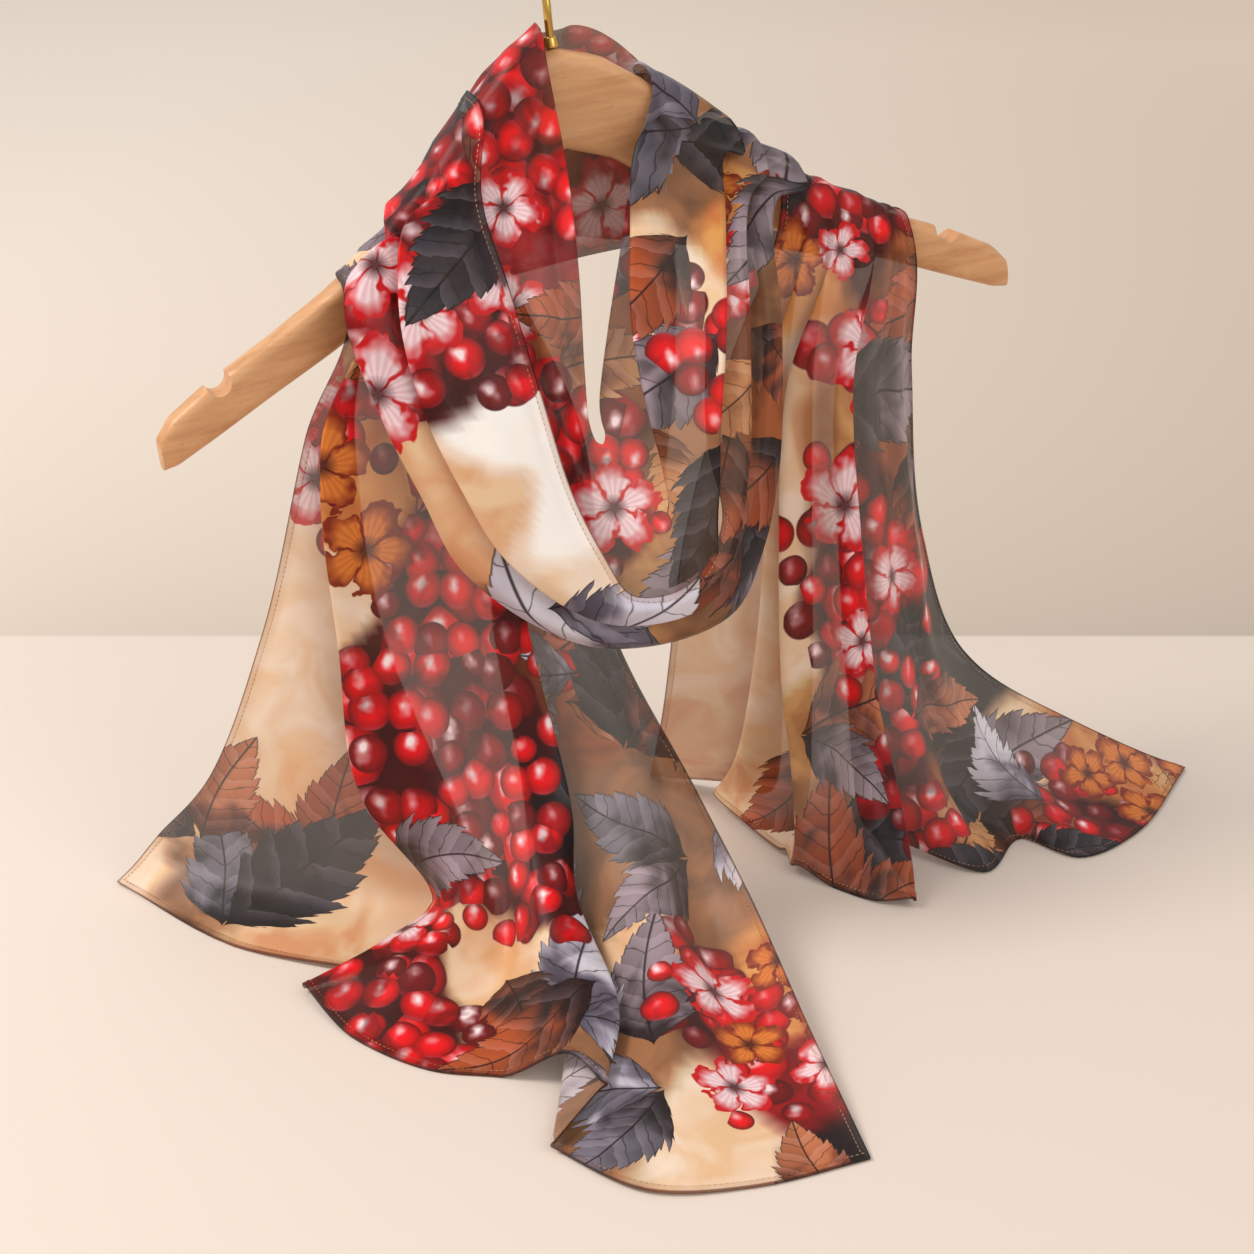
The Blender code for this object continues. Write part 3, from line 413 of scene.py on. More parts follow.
def seam_place(seam, share, reach):
    """A place beside a seam on the back of an arm: reach is positive towards the middle."""
    side = seam_side(seam, share)
    drop = seam.drop_a + (seam.drop_b - seam.drop_a) * share
    lean = math.radians(seam.lean_a + (seam.lean_b - seam.lean_a) * share)
    wood = wood_at(side)
    inward = reach * math.sin(lean) * (1 if seam.side_b < 0 else -1)
    down = reach * math.cos(lean)
    return hanger_to_frame(side + inward, wood.thick / 2 + seam.off, wood.top - drop - down)


# ---------------------------------------------------------------- shells of cloth
HEM_SHARE = 0.1                # most of a narrow span that each mesh line of a hem takes
CREASE_SHARE = 0.45            # widest crease, as a share of the cloth between two fold lines
CREASE_TAPER = 0.7             # below 1 a crease keeps its depth nearly to its ends


def flat_direction(step, along):
    """The direction of a step, seen along the fold line."""
    return (step - along * step.dot(along)).normalized()


def round_the_folds(row, alongs, edges, radius):
    """Gives each pressed fold in a row of fold-line points its round edge."""
    smooth = []
    for i, place in enumerate(row):
        if not edges[i]:
            smooth.append(place)
            continue
        beside = min((row[i - 1] - place).length, (row[i + 1] - place).length)
        size = min(radius, FOLD_SHARE * beside)
        before = flat_direction(row[i - 1] - place, alongs[i])
        after = flat_direction(row[i + 1] - place, alongs[i])
        inward = (before + after) / 2
        across = (after - before).normalized()
        smooth.append(place + (inward - across) * size)
        smooth.append(place)
        smooth.append(place + (inward + across) * size)
    return smooth


def hem_shares(width, cuts):
    """Places of the mesh columns in a span that starts with a hem, as shares of the span."""
    stops = [min(stop / width, HEM_SHARE * (i + 1)) for i, stop in enumerate(HEM_STOPS)]
    rest = cuts - len(stops)
    return [0.0] + stops + [stops[-1] + (1 - stops[-1]) * k / rest for k in range(1, rest)]


def span_shares(row, cuts, hems):
    """For each span of a row, the shares at which its mesh columns lie."""
    shares = []
    last = len(cuts) - 1
    for span, count in enumerate(cuts):
        even = [k / count for k in range(count)]
        width = (row[span + 1] - row[span]).length
        if span == 0 and hems.first:
            even = hem_shares(width, count)
        if span == last and hems.last:
            even = [0.0] + [1 - share for share in reversed(hem_shares(width, count)[1:])]
        shares.append(even)
    return shares


def across_row(row, cuts, hems):
    """Mesh points of one row: a curve through its points, with knots by the root of length."""
    knots = [0.0]
    for a, b in zip(row, row[1:]):
        knots.append(knots[-1] + max(math.sqrt((b - a).length), LEAST_KNOT))
    slopes = slopes_at(row, knots)
    places = []
    for span, shares in enumerate(span_shares(row, cuts, hems)):
        places += [curve_point(row, knots, slopes, span, share) for share in shares]
    places.append(row[-1])
    return places


def column_folds(edges):
    """How many mesh columns lie in each span of a row, and each column's place among the folds."""
    cuts = []
    places = []
    for i, edge in enumerate(edges):
        if edge:
            cuts += [FOLD_CUTS, FOLD_CUTS]
            places += [i] * (2 * FOLD_CUTS)
        if i < len(edges) - 1:
            cuts.append(SPAN_CUTS)
            places += [i + k / SPAN_CUTS for k in range(SPAN_CUTS)]
    return cuts, places + [len(edges) - 1]


def row_stops(width, last_span, end_hem):
    """Shares of a span along the cloth at which the mesh has a row."""
    count = max(1, math.ceil(width / ROW_STEP))
    stops = [k / count for k in range(count)]
    if last_span and end_hem:
        inner = [1 - stop / width for stop in reversed(HEM_STOPS)]
        stops = [stop for stop in stops if stop < inner[0] - 0.5 / count] + inner
    if last_span:
        stops.append(1.0)
    return stops


def shell_grid(lines, radii, edges, hems):
    """Rows of mesh points of a shell through its fold lines, with each row's station."""
    knots = shared_knots(lines)
    slopes = [slopes_at(line, knots) for line in lines]
    cuts, folds = column_folds(edges)
    grid = []
    stations = []
    last = len(knots) - 2
    for span in range(last + 1):
        for share in row_stops(knots[span + 1] - knots[span], span == last, hems.end):
            row = [curve_point(line, knots, slopes[i], span, share)
                   for i, line in enumerate(lines)]
            alongs = [slope[span].lerp(slope[span + 1], share).normalized() for slope in slopes]
            radius = radii[span] + (radii[span + 1] - radii[span]) * share
            places = across_row(round_the_folds(row, alongs, edges, radius), cuts, hems)
            grid.append([(*place.xy, max(place.z, LOWEST)) for place in places])
            stations.append(span + share)
    return np.array(grid), np.array(stations), np.array(folds, float)


def grid_normals(grid):
    """The shell's normal at each mesh point."""
    normal = np.cross(*np.gradient(grid, axis=(0, 1)))
    return normal / np.maximum(np.linalg.norm(normal, axis=2, keepdims=True), 1e-9)


def rising(folds):
    """The mesh columns' fold numbers, in strictly rising order."""
    return folds + np.arange(len(folds)) * TIE_BREAK


def crease_heights(grid, stations, folds, creases):
    """How far the creases in a table lift each mesh point along its normal."""
    step = np.linalg.norm(np.diff(grid, axis=1), axis=2)
    walk = np.concatenate([np.zeros((len(grid), 1)), np.cumsum(step, axis=1)], axis=1)
    heights = np.zeros(grid.shape[:2])
    columns = rising(folds)
    for crease in creases:
        share = (stations - crease.start) / (crease.end - crease.start)
        inside = (share > 0) & (share < 1)
        for row in np.nonzero(inside)[0]:
            fold = crease.fold_a + (crease.fold_b - crease.fold_a) * share[row]
            fold += crease.bend * math.sin(math.pi * share[row])
            middle = np.interp(fold, columns, walk[row])
            near, far = np.interp((fold - 0.5, fold + 0.5), columns, walk[row])
            width = min(crease.width, max(far - near, 1) * CREASE_SHARE)
            depth = crease.depth * min(1, width / crease.width)
            taper = math.sin(math.pi * share[row] ** crease.lean) ** CREASE_TAPER
            heights[row] += depth * taper * np.exp(-((walk[row] - middle) / width) ** 2)
    return heights


# ---------------------------------------------------------------- fold lines, as in the solids
def at_level(place, level):
    return Vector((place[0], place[1], level))


def on_table(place):
    return Vector((place[0], place[1], LOWEST + place[2]))


def seam_end(seam, share, way):
    """The two places with which a sheet meets its seam. way: 1 for the middle, -1 for the arm."""
    return [seam_place(seam, share, 0), seam_place(seam, share, way * SEAM_REACH)]


def over_arm(stops, side, off, lift, seam, share):
    """A fold line's places on an arm, from its back to its front."""
    places = []
    for stop in stops:
        opened = side + (seam_side(seam, share) - side) * stop.opened
        places.append(on_arm(opened, stop.angle, off, lift))
    return places


def spread(count, first=0.0, last=1.0):
    """Even shares from the first to the last."""
    return [first + (last - first) * i / (count - 1) for i in range(count)]


def tail_line(fold, levels, seam, share):
    """A tail's fold line from the seam, over the arm and down to the hem on the table."""
    line = seam_end(seam, share, -1)
    line += over_arm(TAIL_STOPS, fold.side, fold.off, fold.lift, seam, share)
    line += [at_level(getattr(fold, name), level) for name, level in levels.items()]
    return line + [Vector(fold.foot), Vector(fold.toe), on_table(fold.hem)]


def stations_of(table):
    """The names of the places that a loop table's lines pass between the arms."""
    names = table._fields
    return names[names.index("edge") + 1:names.index("right")]


def loop_line(fold, share):
    """A loop's fold line from the left seam, over the arm, round the bottom and back over."""
    line = seam_end(SEAM_LOOP_LEFT, share, -1)
    line += over_arm(LOOP_STOPS, fold.left, fold.loff, fold.llift, SEAM_LOOP_LEFT, share)
    line += [Vector(getattr(fold, name)) for name in stations_of(type(fold))]
    back = seam_end(SEAM_LOOP_RIGHT, share, -1)
    back += over_arm(LOOP_STOPS, fold.right, fold.roff, fold.rlift, SEAM_LOOP_RIGHT, share)
    return line + back[::-1]


def crossing_line(fold, left, right, share):
    """A fold line of a sheet that crosses behind the hanger, from seam to seam."""
    middle = [Vector(place) for place in (fold.left, fold.middle, fold.right)]
    return seam_end(left, share, 1) + middle + seam_end(right, share, 1)[::-1]


def tail_sheet(folds, levels, seam):
    lines = [tail_line(fold, levels, seam, share) for fold, share in zip(folds, spread(len(folds)))]
    on_wood = 2 + len(TAIL_STOPS)
    return lines, [ARM_FOLD] * on_wood + [TAIL_FOLD] * (len(lines[0]) - on_wood)


def loop_sheet(folds, first, last):
    lines = [loop_line(fold, share) for fold, share in zip(folds, spread(len(folds), first, last))]
    tight = [ARM_FOLD] * (2 + len(LOOP_STOPS))
    return lines, tight + [LOOP_FOLD] * (len(lines[0]) - 2 * len(tight)) + tight


def crossing_sheet(folds, left, right):
    lines = [crossing_line(fold, left, right, share)
             for fold, share in zip(folds, spread(len(folds)))]
    return lines, [ARM_FOLD] * len(lines[0])


# ---------------------------------------------------------------- pieces of cloth
def only(piece):
    """Leaves one object selected and active."""
    bpy.ops.object.select_all(action="DESELECT")
    piece.select_set(True)
    bpy.context.view_layer.objects.active = piece


def mesh_piece(name, points, faces):
    """A new object from points in mm and faces."""
    mesh = bpy.data.meshes.new(name)
    mesh.from_pydata((points * MM).tolist(), [], faces.tolist())
    piece = bpy.data.objects.new(name, mesh)
    bpy.context.scene.collection.objects.link(piece)
    return piece


def flatten(piece, shape):
    """Unwraps the shell and gives its map's places in mm, with the cloth's length along V."""
    only(piece)
    bpy.ops.object.mode_set(mode="EDIT")
    bpy.ops.mesh.select_all(action="SELECT")
    bpy.ops.uv.unwrap(method="ANGLE_BASED", fill_holes=False, margin=0.0)
    bpy.ops.object.mode_set(mode="OBJECT")
    mesh = piece.data
    layer = mesh.uv_layers[0]
    layer.name = "Cloth"
    corner_vertex = np.zeros(len(mesh.loops), int)
    mesh.loops.foreach_get("vertex_index", corner_vertex)
    places = np.zeros(len(mesh.loops) * 2)
    layer.data.foreach_get("uv", places)
    flat = np.zeros((len(mesh.vertices), 2))
    flat[corner_vertex] = places.reshape(-1, 2)
    quads = flat[corner_vertex.reshape(-1, 4)]
    one = quads[:, 2] - quads[:, 0]
    two = quads[:, 3] - quads[:, 1]
    flat_area = np.abs(one[:, 0] * two[:, 1] - one[:, 1] * two[:, 0]).sum() / 2
    real_area = sum(polygon.area for polygon in mesh.polygons) / MM ** 2
    flat *= math.sqrt(real_area / flat_area)
    grid = flat.reshape(*shape, 2)
    middle = grid[:, shape[1] // 2]
    run = middle[-1] - middle[shape[0] // 2]
    angle = -math.pi / 2 - math.atan2(run[1], run[0])
    c, s = math.cos(angle), math.sin(angle)
    flat = (flat - middle[-1]) @ np.array([[c, s], [-s, c]])
    layer.data.foreach_set("uv", flat[corner_vertex].ravel())
    return flat.reshape(*shape, 2), real_area


Hems = namedtuple("Hems", "first last end")
Shell = namedtuple("Shell", "piece grid flat stations folds area")


def cloth_shell(name, sheet, creases):
    """A stretch of the cloth as one open shell, flattened for its print."""
    grid, stations, folds = shell_grid(*sheet.lines, sheet.edges, sheet.hems)
    heights = crease_heights(grid, stations, folds, creases)
    grid = grid + grid_normals(grid) * heights[..., None] * sheet.front
    grid[..., 2] = np.maximum(grid[..., 2], LOWEST)
    rows, columns = grid.shape[:2]
    index = np.arange(rows * columns).reshape(rows, columns)
    quads = np.stack([index[:-1, :-1], index[1:, :-1], index[1:, 1:], index[:-1, 1:]], axis=-1)
    if sheet.front < 0:
        quads = quads[..., ::-1]
    piece = mesh_piece(name, grid.reshape(-1, 3), quads.reshape(-1, 4))
    piece.data.shade_smooth()
    flat, area = flatten(piece, (rows, columns))
    return Shell(piece, grid, flat, stations, folds, area)


def thicken(shell, hems):
    """Gives the shell its wall, thicker along the rolled hems."""
    rows, columns = shell.grid.shape[:2]
    weight = np.zeros((rows, columns))
    reach = len(HEM_STOPS)
    if hems.first:
        weight[:, :reach] = 1
    if hems.last:
        weight[:, -reach:] = 1
    if hems.end:
        weight[-reach:] = 1
    group = shell.piece.vertex_groups.new(name="hem")
    group.add(np.nonzero(weight.ravel())[0].tolist(), 1.0, "REPLACE")
    wall = shell.piece.modifiers.new("Wall", "SOLIDIFY")
    wall.thickness = HEM_THICK * MM
    wall.offset = 0.0
    wall.vertex_group = "hem"
    wall.thickness_vertex_group = CHIFFON / HEM_THICK
    wall.material_offset = 1
    only(shell.piece)
    bpy.ops.object.modifier_apply(modifier="Wall")


# ---------------------------------------------------------------- materials
PRINT_COVER = 0.87             # how much of the light the printed face of the wall holds back
REVERSE_COVER = 0.15           # and its unprinted face
CHIFFON_ROUGH = 0.44
CHIFFON_GLOSS = 0.22
PRINT_ORDER = ("leaf_3", "bunch_2", "leaf_2", "bunch_1", "petals", "leaf_1")   # back to front
LEAF_TEETH = 15.0              # teeth along a leaf
LEAF_VEINS = 5.0               # side veins along it, with a broad lobe at each
BEECH_GRAIN = (0.25, 0.007)    # length and width of a streak, in metres
BEECH_FLECK = (0.006, 0.0011)


def linear(code):
    """An sRGB hex colour as linear RGBA."""
    parts = [int(code[i:i + 2], 16) / 255 for i in (1, 3, 5)]
    return [part / 12.92 if part <= 0.04045 else ((part + 0.055) / 1.055) ** 2.4
            for part in parts] + [1.0]


def plug(tree, socket, value):
    """Sets a socket: to a value, or by a link from a node or from another socket."""
    if isinstance(value, bpy.types.Node):
        value = value.outputs[0]
    if isinstance(value, bpy.types.NodeSocket):
        tree.links.new(value, socket)
    else:
        socket.default_value = value


def add(tree, kind, *inputs, named=None, points=(), stops=(), **settings):
    """Adds a node with its settings and links.

    Inputs are in socket order: a value, a node or a socket. Points are those of a curve, and
    stops are the places and colours of a ramp.
    """
    made = tree.nodes.new("ShaderNode" + kind)
    for key, value in settings.items():
        setattr(made, key, value)
    for socket, value in zip(made.inputs, inputs):
        plug(tree, socket, value)
    for key, value in (named or {}).items():
        plug(tree, made.inputs[key], value)
    if points:
        held = made.mapping.curves[0].points
        held[0].location = points[0]
        held[1].location = points[-1]
        for place in points[1:-1]:
            held.new(*place)
        made.mapping.update()
    if stops:
        held = made.color_ramp.elements
        for element, (place, colour) in zip(held, (stops[0], stops[-1])):
            element.position = place
            element.color = linear(colour)
        for place, colour in stops[1:-1]:
            held.new(place).color = linear(colour)
    return made


def new_look(name):
    """A material with nodes, and what adds a node to it."""
    made = bpy.data.materials.new(name)
    made.use_nodes = True
    return made, partial(add, made.node_tree)


def finish_look(made, sockets):
    """Sets the sockets of a material's shader, by their names."""
    for key, value in sockets.items():
        plug(made.node_tree, made.node_tree.nodes["Principled BSDF"].inputs[key], value)
    return made


def new_motif(name, **inputs):
    """A node group of the print, what adds a node to it, and its named inputs."""
    tree = bpy.data.node_groups.new(name, "ShaderNodeTree")
    for key, kind in inputs.items():
        tree.interface.new_socket(key, in_out="INPUT", socket_type="NodeSocket" + kind)
    tree.interface.new_socket("Colour", in_out="OUTPUT", socket_type="NodeSocketColor")
    tree.interface.new_socket("Mask", in_out="OUTPUT", socket_type="NodeSocketFloat")
    start = tree.nodes.new("NodeGroupInput")
    return tree, partial(add, tree), start.outputs[:len(inputs)]


def finish_motif(tree, colour, mask):
    """Gives a motif its output: a colour and a mask."""
    end = tree.nodes.new("NodeGroupOutput")
    plug(tree, end.inputs[0], colour)
    plug(tree, end.inputs[1], mask)
    return tree


def leaf_motif():
    """A serrated leaf with a dark outline and veins, its foot at 0 and its tip at 1 along X."""
    tree, node, (place, fine, broad) = new_motif("leaf", Place="Vector", Fine="Float",
                                                 Broad="Float")
    along, across, tone = node("SeparateXYZ", place).outputs
    bow = node("Math", node("Math", along, math.pi, operation="MULTIPLY"), operation="SINE")
    bent = node("Math", bow, -0.07, across, operation="MULTIPLY_ADD")
    away = node("Math", bent, operation="ABSOLUTE")
    profile = node("FloatCurve", 1.0, along, points=[(0, 0), (0.04, 0.02), (0.14, 0.15),
                                                     (0.32, 0.28), (0.54, 0.26), (0.8, 0.13),
                                                     (1, 0)])
    slant = node("Math", away, -0.75, along, operation="MULTIPLY_ADD")
    slant = node("Math", fine, 0.05, slant, operation="MULTIPLY_ADD")
    teeth = node("Math", node("Math", slant, LEAF_TEETH, operation="MULTIPLY"), operation="FRACT")
    lobes = node("Math", node("Math", slant, LEAF_VEINS, operation="MULTIPLY"), operation="FRACT")
    cut = node("Math", teeth, 0.4, lobes, operation="MULTIPLY_ADD")
    cut = node("MapRange", cut, 0.0, 1.4, 0.8, 1.12)
    margin = node("Math", node("Math", profile, cut, operation="MULTIPLY"), away,
                  operation="SUBTRACT")
    mask = node("MapRange", margin, 0.0, 0.006, 0.0, 1.0)

    rim = node("MapRange", margin, 0.004, 0.016, 1.0, 0.0)
    rib = node("MapRange", away, 0.003, 0.010, 0.85, 0.0)
    vein = node("Math", node("Math", lobes, 0.55, operation="SUBTRACT"), operation="ABSOLUTE")
    vein = node("MapRange", vein, 0.0, 0.04, 0.7, 0.0)
    ink = node("Math", node("Math", rim, rib, operation="MAXIMUM"), vein, operation="MAXIMUM")

    tint = node("Math", tone, 1 / len(TINTS), 0.5 / len(TINTS), operation="MULTIPLY_ADD")
    tip, foot = (node("ValToRGB", tint, stops=[(j / len(TINTS), ends[k])
                                               for j, ends in enumerate(TINTS.values())])
                 for k in (0, 1))
    for ramp in (tip, foot):
        ramp.color_ramp.interpolation = "CONSTANT"
    fade = node("Math", along, -0.42, operation="ADD")
    fade = node("Math", broad, 1.2, fade, operation="MULTIPLY_ADD")
    fade = node("MapRange", fade, 0.24, 0.86, 0.0, 1.0, interpolation_type="SMOOTHSTEP")
    body = node("MixRGB", fade, foot, tip)
    side = node("MapRange", bent, -0.03, 0.03, 0.62, 0.44)
    side = node("Math", lobes, 0.14, side, operation="MULTIPLY_ADD")
    body = node("MixRGB", 0.75, body, side, blend_type="OVERLAY")
    rise = node("Math", node("Math", lobes, 3.0, operation="POWER"), 0.2, operation="MULTIPLY")
    body = node("MixRGB", rise, body, linear("#C9BEC6"))
    body = node("MixRGB", ink, body, linear("#2A1A1C"))
    return finish_motif(tree, body, mask)


def bunch_motif():
    """Round glossy berries on one lattice. Home and Next are two bunches' middles and reaches."""
    tree, node, (cloth, fine, broad, home, following, scale) = new_motif(
        "bunch", Cloth="Vector", Fine="Float", Broad="Float", Home="Vector", Next="Vector",
        Berries="Float")
    level = node("VectorMath", cloth, named={"Scale": scale}, operation="SCALE")
    cells = node("TexVoronoi", level, named={"Scale": 1.0, "Randomness": 0.62},
                 voronoi_dimensions="2D")
    berry = cells.outputs["Position"]
    size_draw, shine_draw, dim_draw = node("SeparateXYZ", cells.outputs["Color"]).outputs
    depths = []
    for bunch in (home, following):
        bunch = node("VectorMath", bunch, named={"Scale": scale}, operation="SCALE")
        x, y, reach = node("SeparateXYZ", bunch).outputs
        far = node("VectorMath", berry, node("CombineXYZ", x, y, 0.0), operation="DISTANCE")
        depths.append(node("Math", reach, far.outputs["Value"], operation="SUBTRACT"))
    inner = node("Math", *depths, operation="MAXIMUM")
    inner = node("Math", size_draw, -0.5, inner, operation="MULTIPLY_ADD")
    size = node("MapRange", inner, 0.0, 0.5, 0.36, 0.55)
    depth = node("Math", cells.outputs["Distance"], size, operation="DIVIDE")
    disc = node("MapRange", depth, 0.93, 1.01, 1.0, 0.0)
    mask = node("Math", node("Math", inner, 0.0, operation="GREATER_THAN"), disc,
                operation="MULTIPLY")

    step = node("VectorMath", level, berry, operation="SUBTRACT")
    shine = node("VectorMath", step, (1.45, 1.0, 1.0), (0.12, -0.13, 0.0),
                 operation="MULTIPLY_ADD")
    shine = node("VectorMath", shine, operation="LENGTH").outputs["Value"]
    shine = node("Math", fine, 0.4, shine, operation="MULTIPLY_ADD")
    shine = node("MapRange", shine, 0.2, 0.58, 1.0, 0.0)
    shine = node("Math", shine, 1.7, operation="POWER")
    shine = node("Math", shine, node("MapRange", shine_draw, 0.0, 1.0, 0.3, 1.5),
                 operation="MULTIPLY", use_clamp=True)
    low = node("MapRange", node("SeparateXYZ", step).outputs[1], -0.5, -0.3, 0.4, 0.0)
    dim = node("MapRange", dim_draw, 0.5, 0.9, 0.0, 0.8)
    shade = node("MapRange", broad, 0.34, 0.48, 0.5, 0.0)
    body = node("ValToRGB", depth, stops=[(0.0, "#FA3448"), (0.5, "#EA142A"),
                                          (0.82, "#BA0C20"), (1.0, "#660C1A")])
    for share, colour in ((low, "#F8909A"), (dim, "#6A101C"), (shine, "#FFF0F2"),
                          (shade, "#5E0E1A")):
        body = node("MixRGB", share, body, linear(colour))
    return finish_motif(tree, body, mask)


def petal_motif():
    """A loose ruffled flower of five petals, white with rosy edges, or orange."""
    tree, node, (place, fine, broad) = new_motif("petals", Place="Vector", Fine="Float",
                                                 Broad="Float")
    x, y, orange = node("SeparateXYZ", place).outputs
    far = node("VectorMath", node("CombineXYZ", x, y, 0.0), operation="LENGTH").outputs["Value"]
    angle = node("Math", y, x, operation="ARCTAN2")
    turn = node("Math", angle, 2.5, operation="MULTIPLY")
    turn = node("Math", fine, 1.7, turn, operation="MULTIPLY_ADD")
    lobe = node("Math", node("Math", turn, operation="COSINE"), operation="ABSOLUTE")
    edge = node("Math", node("Math", lobe, 0.6, operation="POWER"), 0.45, 0.43,
                operation="MULTIPLY_ADD")
    edge = node("Math", fine, 0.34, edge, operation="MULTIPLY_ADD")
    margin = node("Math", edge, far, operation="SUBTRACT")
    mask = node("MapRange", margin, 0.1, 0.13, 0.0, 1.0)

    rim = node("MapRange", margin, 0.1, 0.5, 1.0, 0.0)
    gap = node("MapRange", lobe, 0.0, 0.5, 1.0, 0.0)
    streak = node("Math", node("Math", angle, 26.0, operation="MULTIPLY"), operation="SINE")
    streak = node("MapRange", streak, -1.0, 1.0, 0.0, 0.35)
    blush = node("Math", node("Math", rim, gap, operation="MAXIMUM"), fine, operation="MULTIPLY")
    blush = node("MapRange", blush, 0.05, 0.4, 0.0, 1.0)
    flowers = []
    for light, dark, edging in (("#F8E6E8", "#D8A4B2", "#D8142E"),
                                ("#E8A468", "#C87444", "#A04A2E")):
        petal = node("MixRGB", streak, linear(light), linear(dark))
        flowers.append(node("MixRGB", blush, petal, linear(edging)))
    body = node("MixRGB", orange, *flowers)
    heart = node("MapRange", far, 0.08, 0.3, 0.85, 0.0)
    body = node("MixRGB", heart, body, linear("#5A1620"))
    return finish_motif(tree, body, mask)


def printed_chiffon():
    """Polyester chiffon, plain woven of fine crepe yarn and printed: sheer, with a soft sheen.

    The Cloth map is in mm, so a noise of scale 0.034 has shapes of about 30 mm, and one of 0.15
    shapes of 7 mm. The yarns lie about 0.25 mm apart, which is too fine to show, so the ribs are
    drawn 1.3 mm apart.
    """
    made, node = new_look("printed_chiffon")
    cloth = node("UVMap", uv_map="Cloth").outputs[0]
    broad = node("TexNoise", cloth, named={"Scale": 0.034, "Detail": 2.0, "Distortion": 0.6},
                 noise_dimensions="2D").outputs[0]
    fine = node("TexNoise", cloth, named={"Scale": 0.15, "Detail": 1.0},
                noise_dimensions="2D").outputs[0]
    cloud = node("MapRange", broad, 0.34, 0.68, 0.66, 0.36)
    colour = node("MixRGB", 0.8, node("Attribute", attribute_name="wash"), cloud,
                  blend_type="OVERLAY")
    motifs = {"leaf": leaf_motif(), "bunch": bunch_motif(), "petals": petal_motif()}
    for layer in PRINT_ORDER:
        kind = layer.split("_")[0]
        place = node("Attribute", attribute_name=layer).outputs["Vector"]
        sources = [place, fine, broad]
        if kind == "bunch":
            following = node("Attribute", attribute_name=layer + "_next").outputs["Vector"]
            sources = [cloth, fine, broad, place, following, 1 / BERRY_STEPS[int(layer[-1]) - 1]]
        motif = node("Group", node_tree=motifs[kind])
        for socket, source in zip(motif.inputs, sources):
            plug(made.node_tree, socket, source)
        colour = node("MixRGB", motif.outputs["Mask"], colour, motif.outputs["Colour"])
    colour = node("Gamma", colour, 1.5)
    colour = node("HueSaturation", named={"Saturation": 1.03, "Color": colour})
    edge = node("Attribute", attribute_name="edge").outputs["Fac"]
    double = node("MapRange", edge, 3.5, 3.9, 0.3, 0.0)
    colour = node("MixRGB", double, colour, linear("#B98E6C"), blend_type="MULTIPLY")
    fold_line = node("MapRange", edge, 0.3, 1.1, 0.85, 0.0)
    colour = node("MixRGB", fold_line, colour, linear("#7A4630"), blend_type="MULTIPLY")
    ribs = node("TexWave", cloth, named={"Scale": 0.35}, bands_direction="DIAGONAL")
    bump = node("Bump", named={"Strength": 0.04, "Distance": 0.0001, "Height": ribs})
    return finish_look(made, {
        "Base Color": colour, "Normal": bump, "Roughness": CHIFFON_ROUGH,
        "Specular IOR Level": CHIFFON_GLOSS, "Sheen Weight": 0.05, "Sheen Roughness": 0.35,
        "Alpha": PRINT_COVER})


def chiffon_reverse():
    """The unprinted face of the chiffon: sheer and off-white, so the print shows through paler.

    Its slubs, the thicker places of the yarn, are about 20 mm long and 0.8 mm wide.
    """
    made, node = new_look("chiffon_reverse")
    slubs = node("Mapping", node("UVMap", uv_map="Cloth"), (0, 0, 0), (0, 0, 0), (0.05, 1.2, 1.0))
    slubs = node("TexNoise", slubs, named={"Scale": 1.0, "Detail": 1.0}, noise_dimensions="2D")
    bump = node("Bump", named={"Strength": 0.05, "Distance": 0.0001, "Height": slubs})
    colour = node("ValToRGB", slubs, stops=[(0.3, "#E2B89C"), (0.7, "#ECCAB0")])
    return finish_look(made, {
        "Base Color": colour, "Normal": bump, "Roughness": CHIFFON_ROUGH,
        "Specular IOR Level": CHIFFON_GLOSS, "Alpha": REVERSE_COVER})


def lacquered_beech():
    """Beech under a satin lacquer: fine straight grain along the arm, with short dark flecks."""
    made, node = new_look("lacquered_beech")
    place = node("TexCoord").outputs["Object"]
    turn = (0, -HANGER_TILT, HANGER_TURN)
    grain, fleck = (node("Mapping", place, (0, 0, 0), turn, (length, width, width),
                         vector_type="TEXTURE")
                    for length, width in (BEECH_GRAIN, BEECH_FLECK))
    grain = node("TexNoise", grain, named={"Scale": 1.0, "Detail": 5.0, "Roughness": 0.6,
                                           "Distortion": 0.25})
    fleck = node("TexNoise", fleck, named={"Scale": 1.0, "Detail": 1.0})
    colour = node("ValToRGB", grain, stops=[(0.3, "#DAA676"), (0.5, "#CE9868"),
                                            (0.7, "#BC8454")])
    dots = node("MapRange", fleck, 0.64, 0.72, 0.0, 0.22)
    colour = node("MixRGB", dots, colour, linear("#A06A38"))
    bump = node("Bump", named={"Strength": 0.12, "Distance": 0.0003, "Height": grain})
    rough = node("MapRange", grain, 0.3, 0.7, 0.36, 0.48)
    return finish_look(made, {"Base Color": colour, "Roughness": rough, "Normal": bump})


def drawn_brass():
    """Bright drawn brass wire, polished, with faint draw lines about 1 mm apart."""
    made, node = new_look("drawn_brass")
    place = node("TexCoord").outputs["Object"]
    lines = node("Mapping", place, (0, 0, 0), (0, 0, 0), (900, 900, 40))
    lines = node("TexNoise", lines, named={"Scale": 1.0, "Detail": 2.0})
    rough = node("MapRange", lines, 0.3, 0.7, 0.14, 0.26)
    colour = node("MixRGB", lines, linear("#E0B765"), linear("#C39A4A"))
    return finish_look(made, {"Base Color": colour, "Roughness": rough, "Metallic": 1.0})


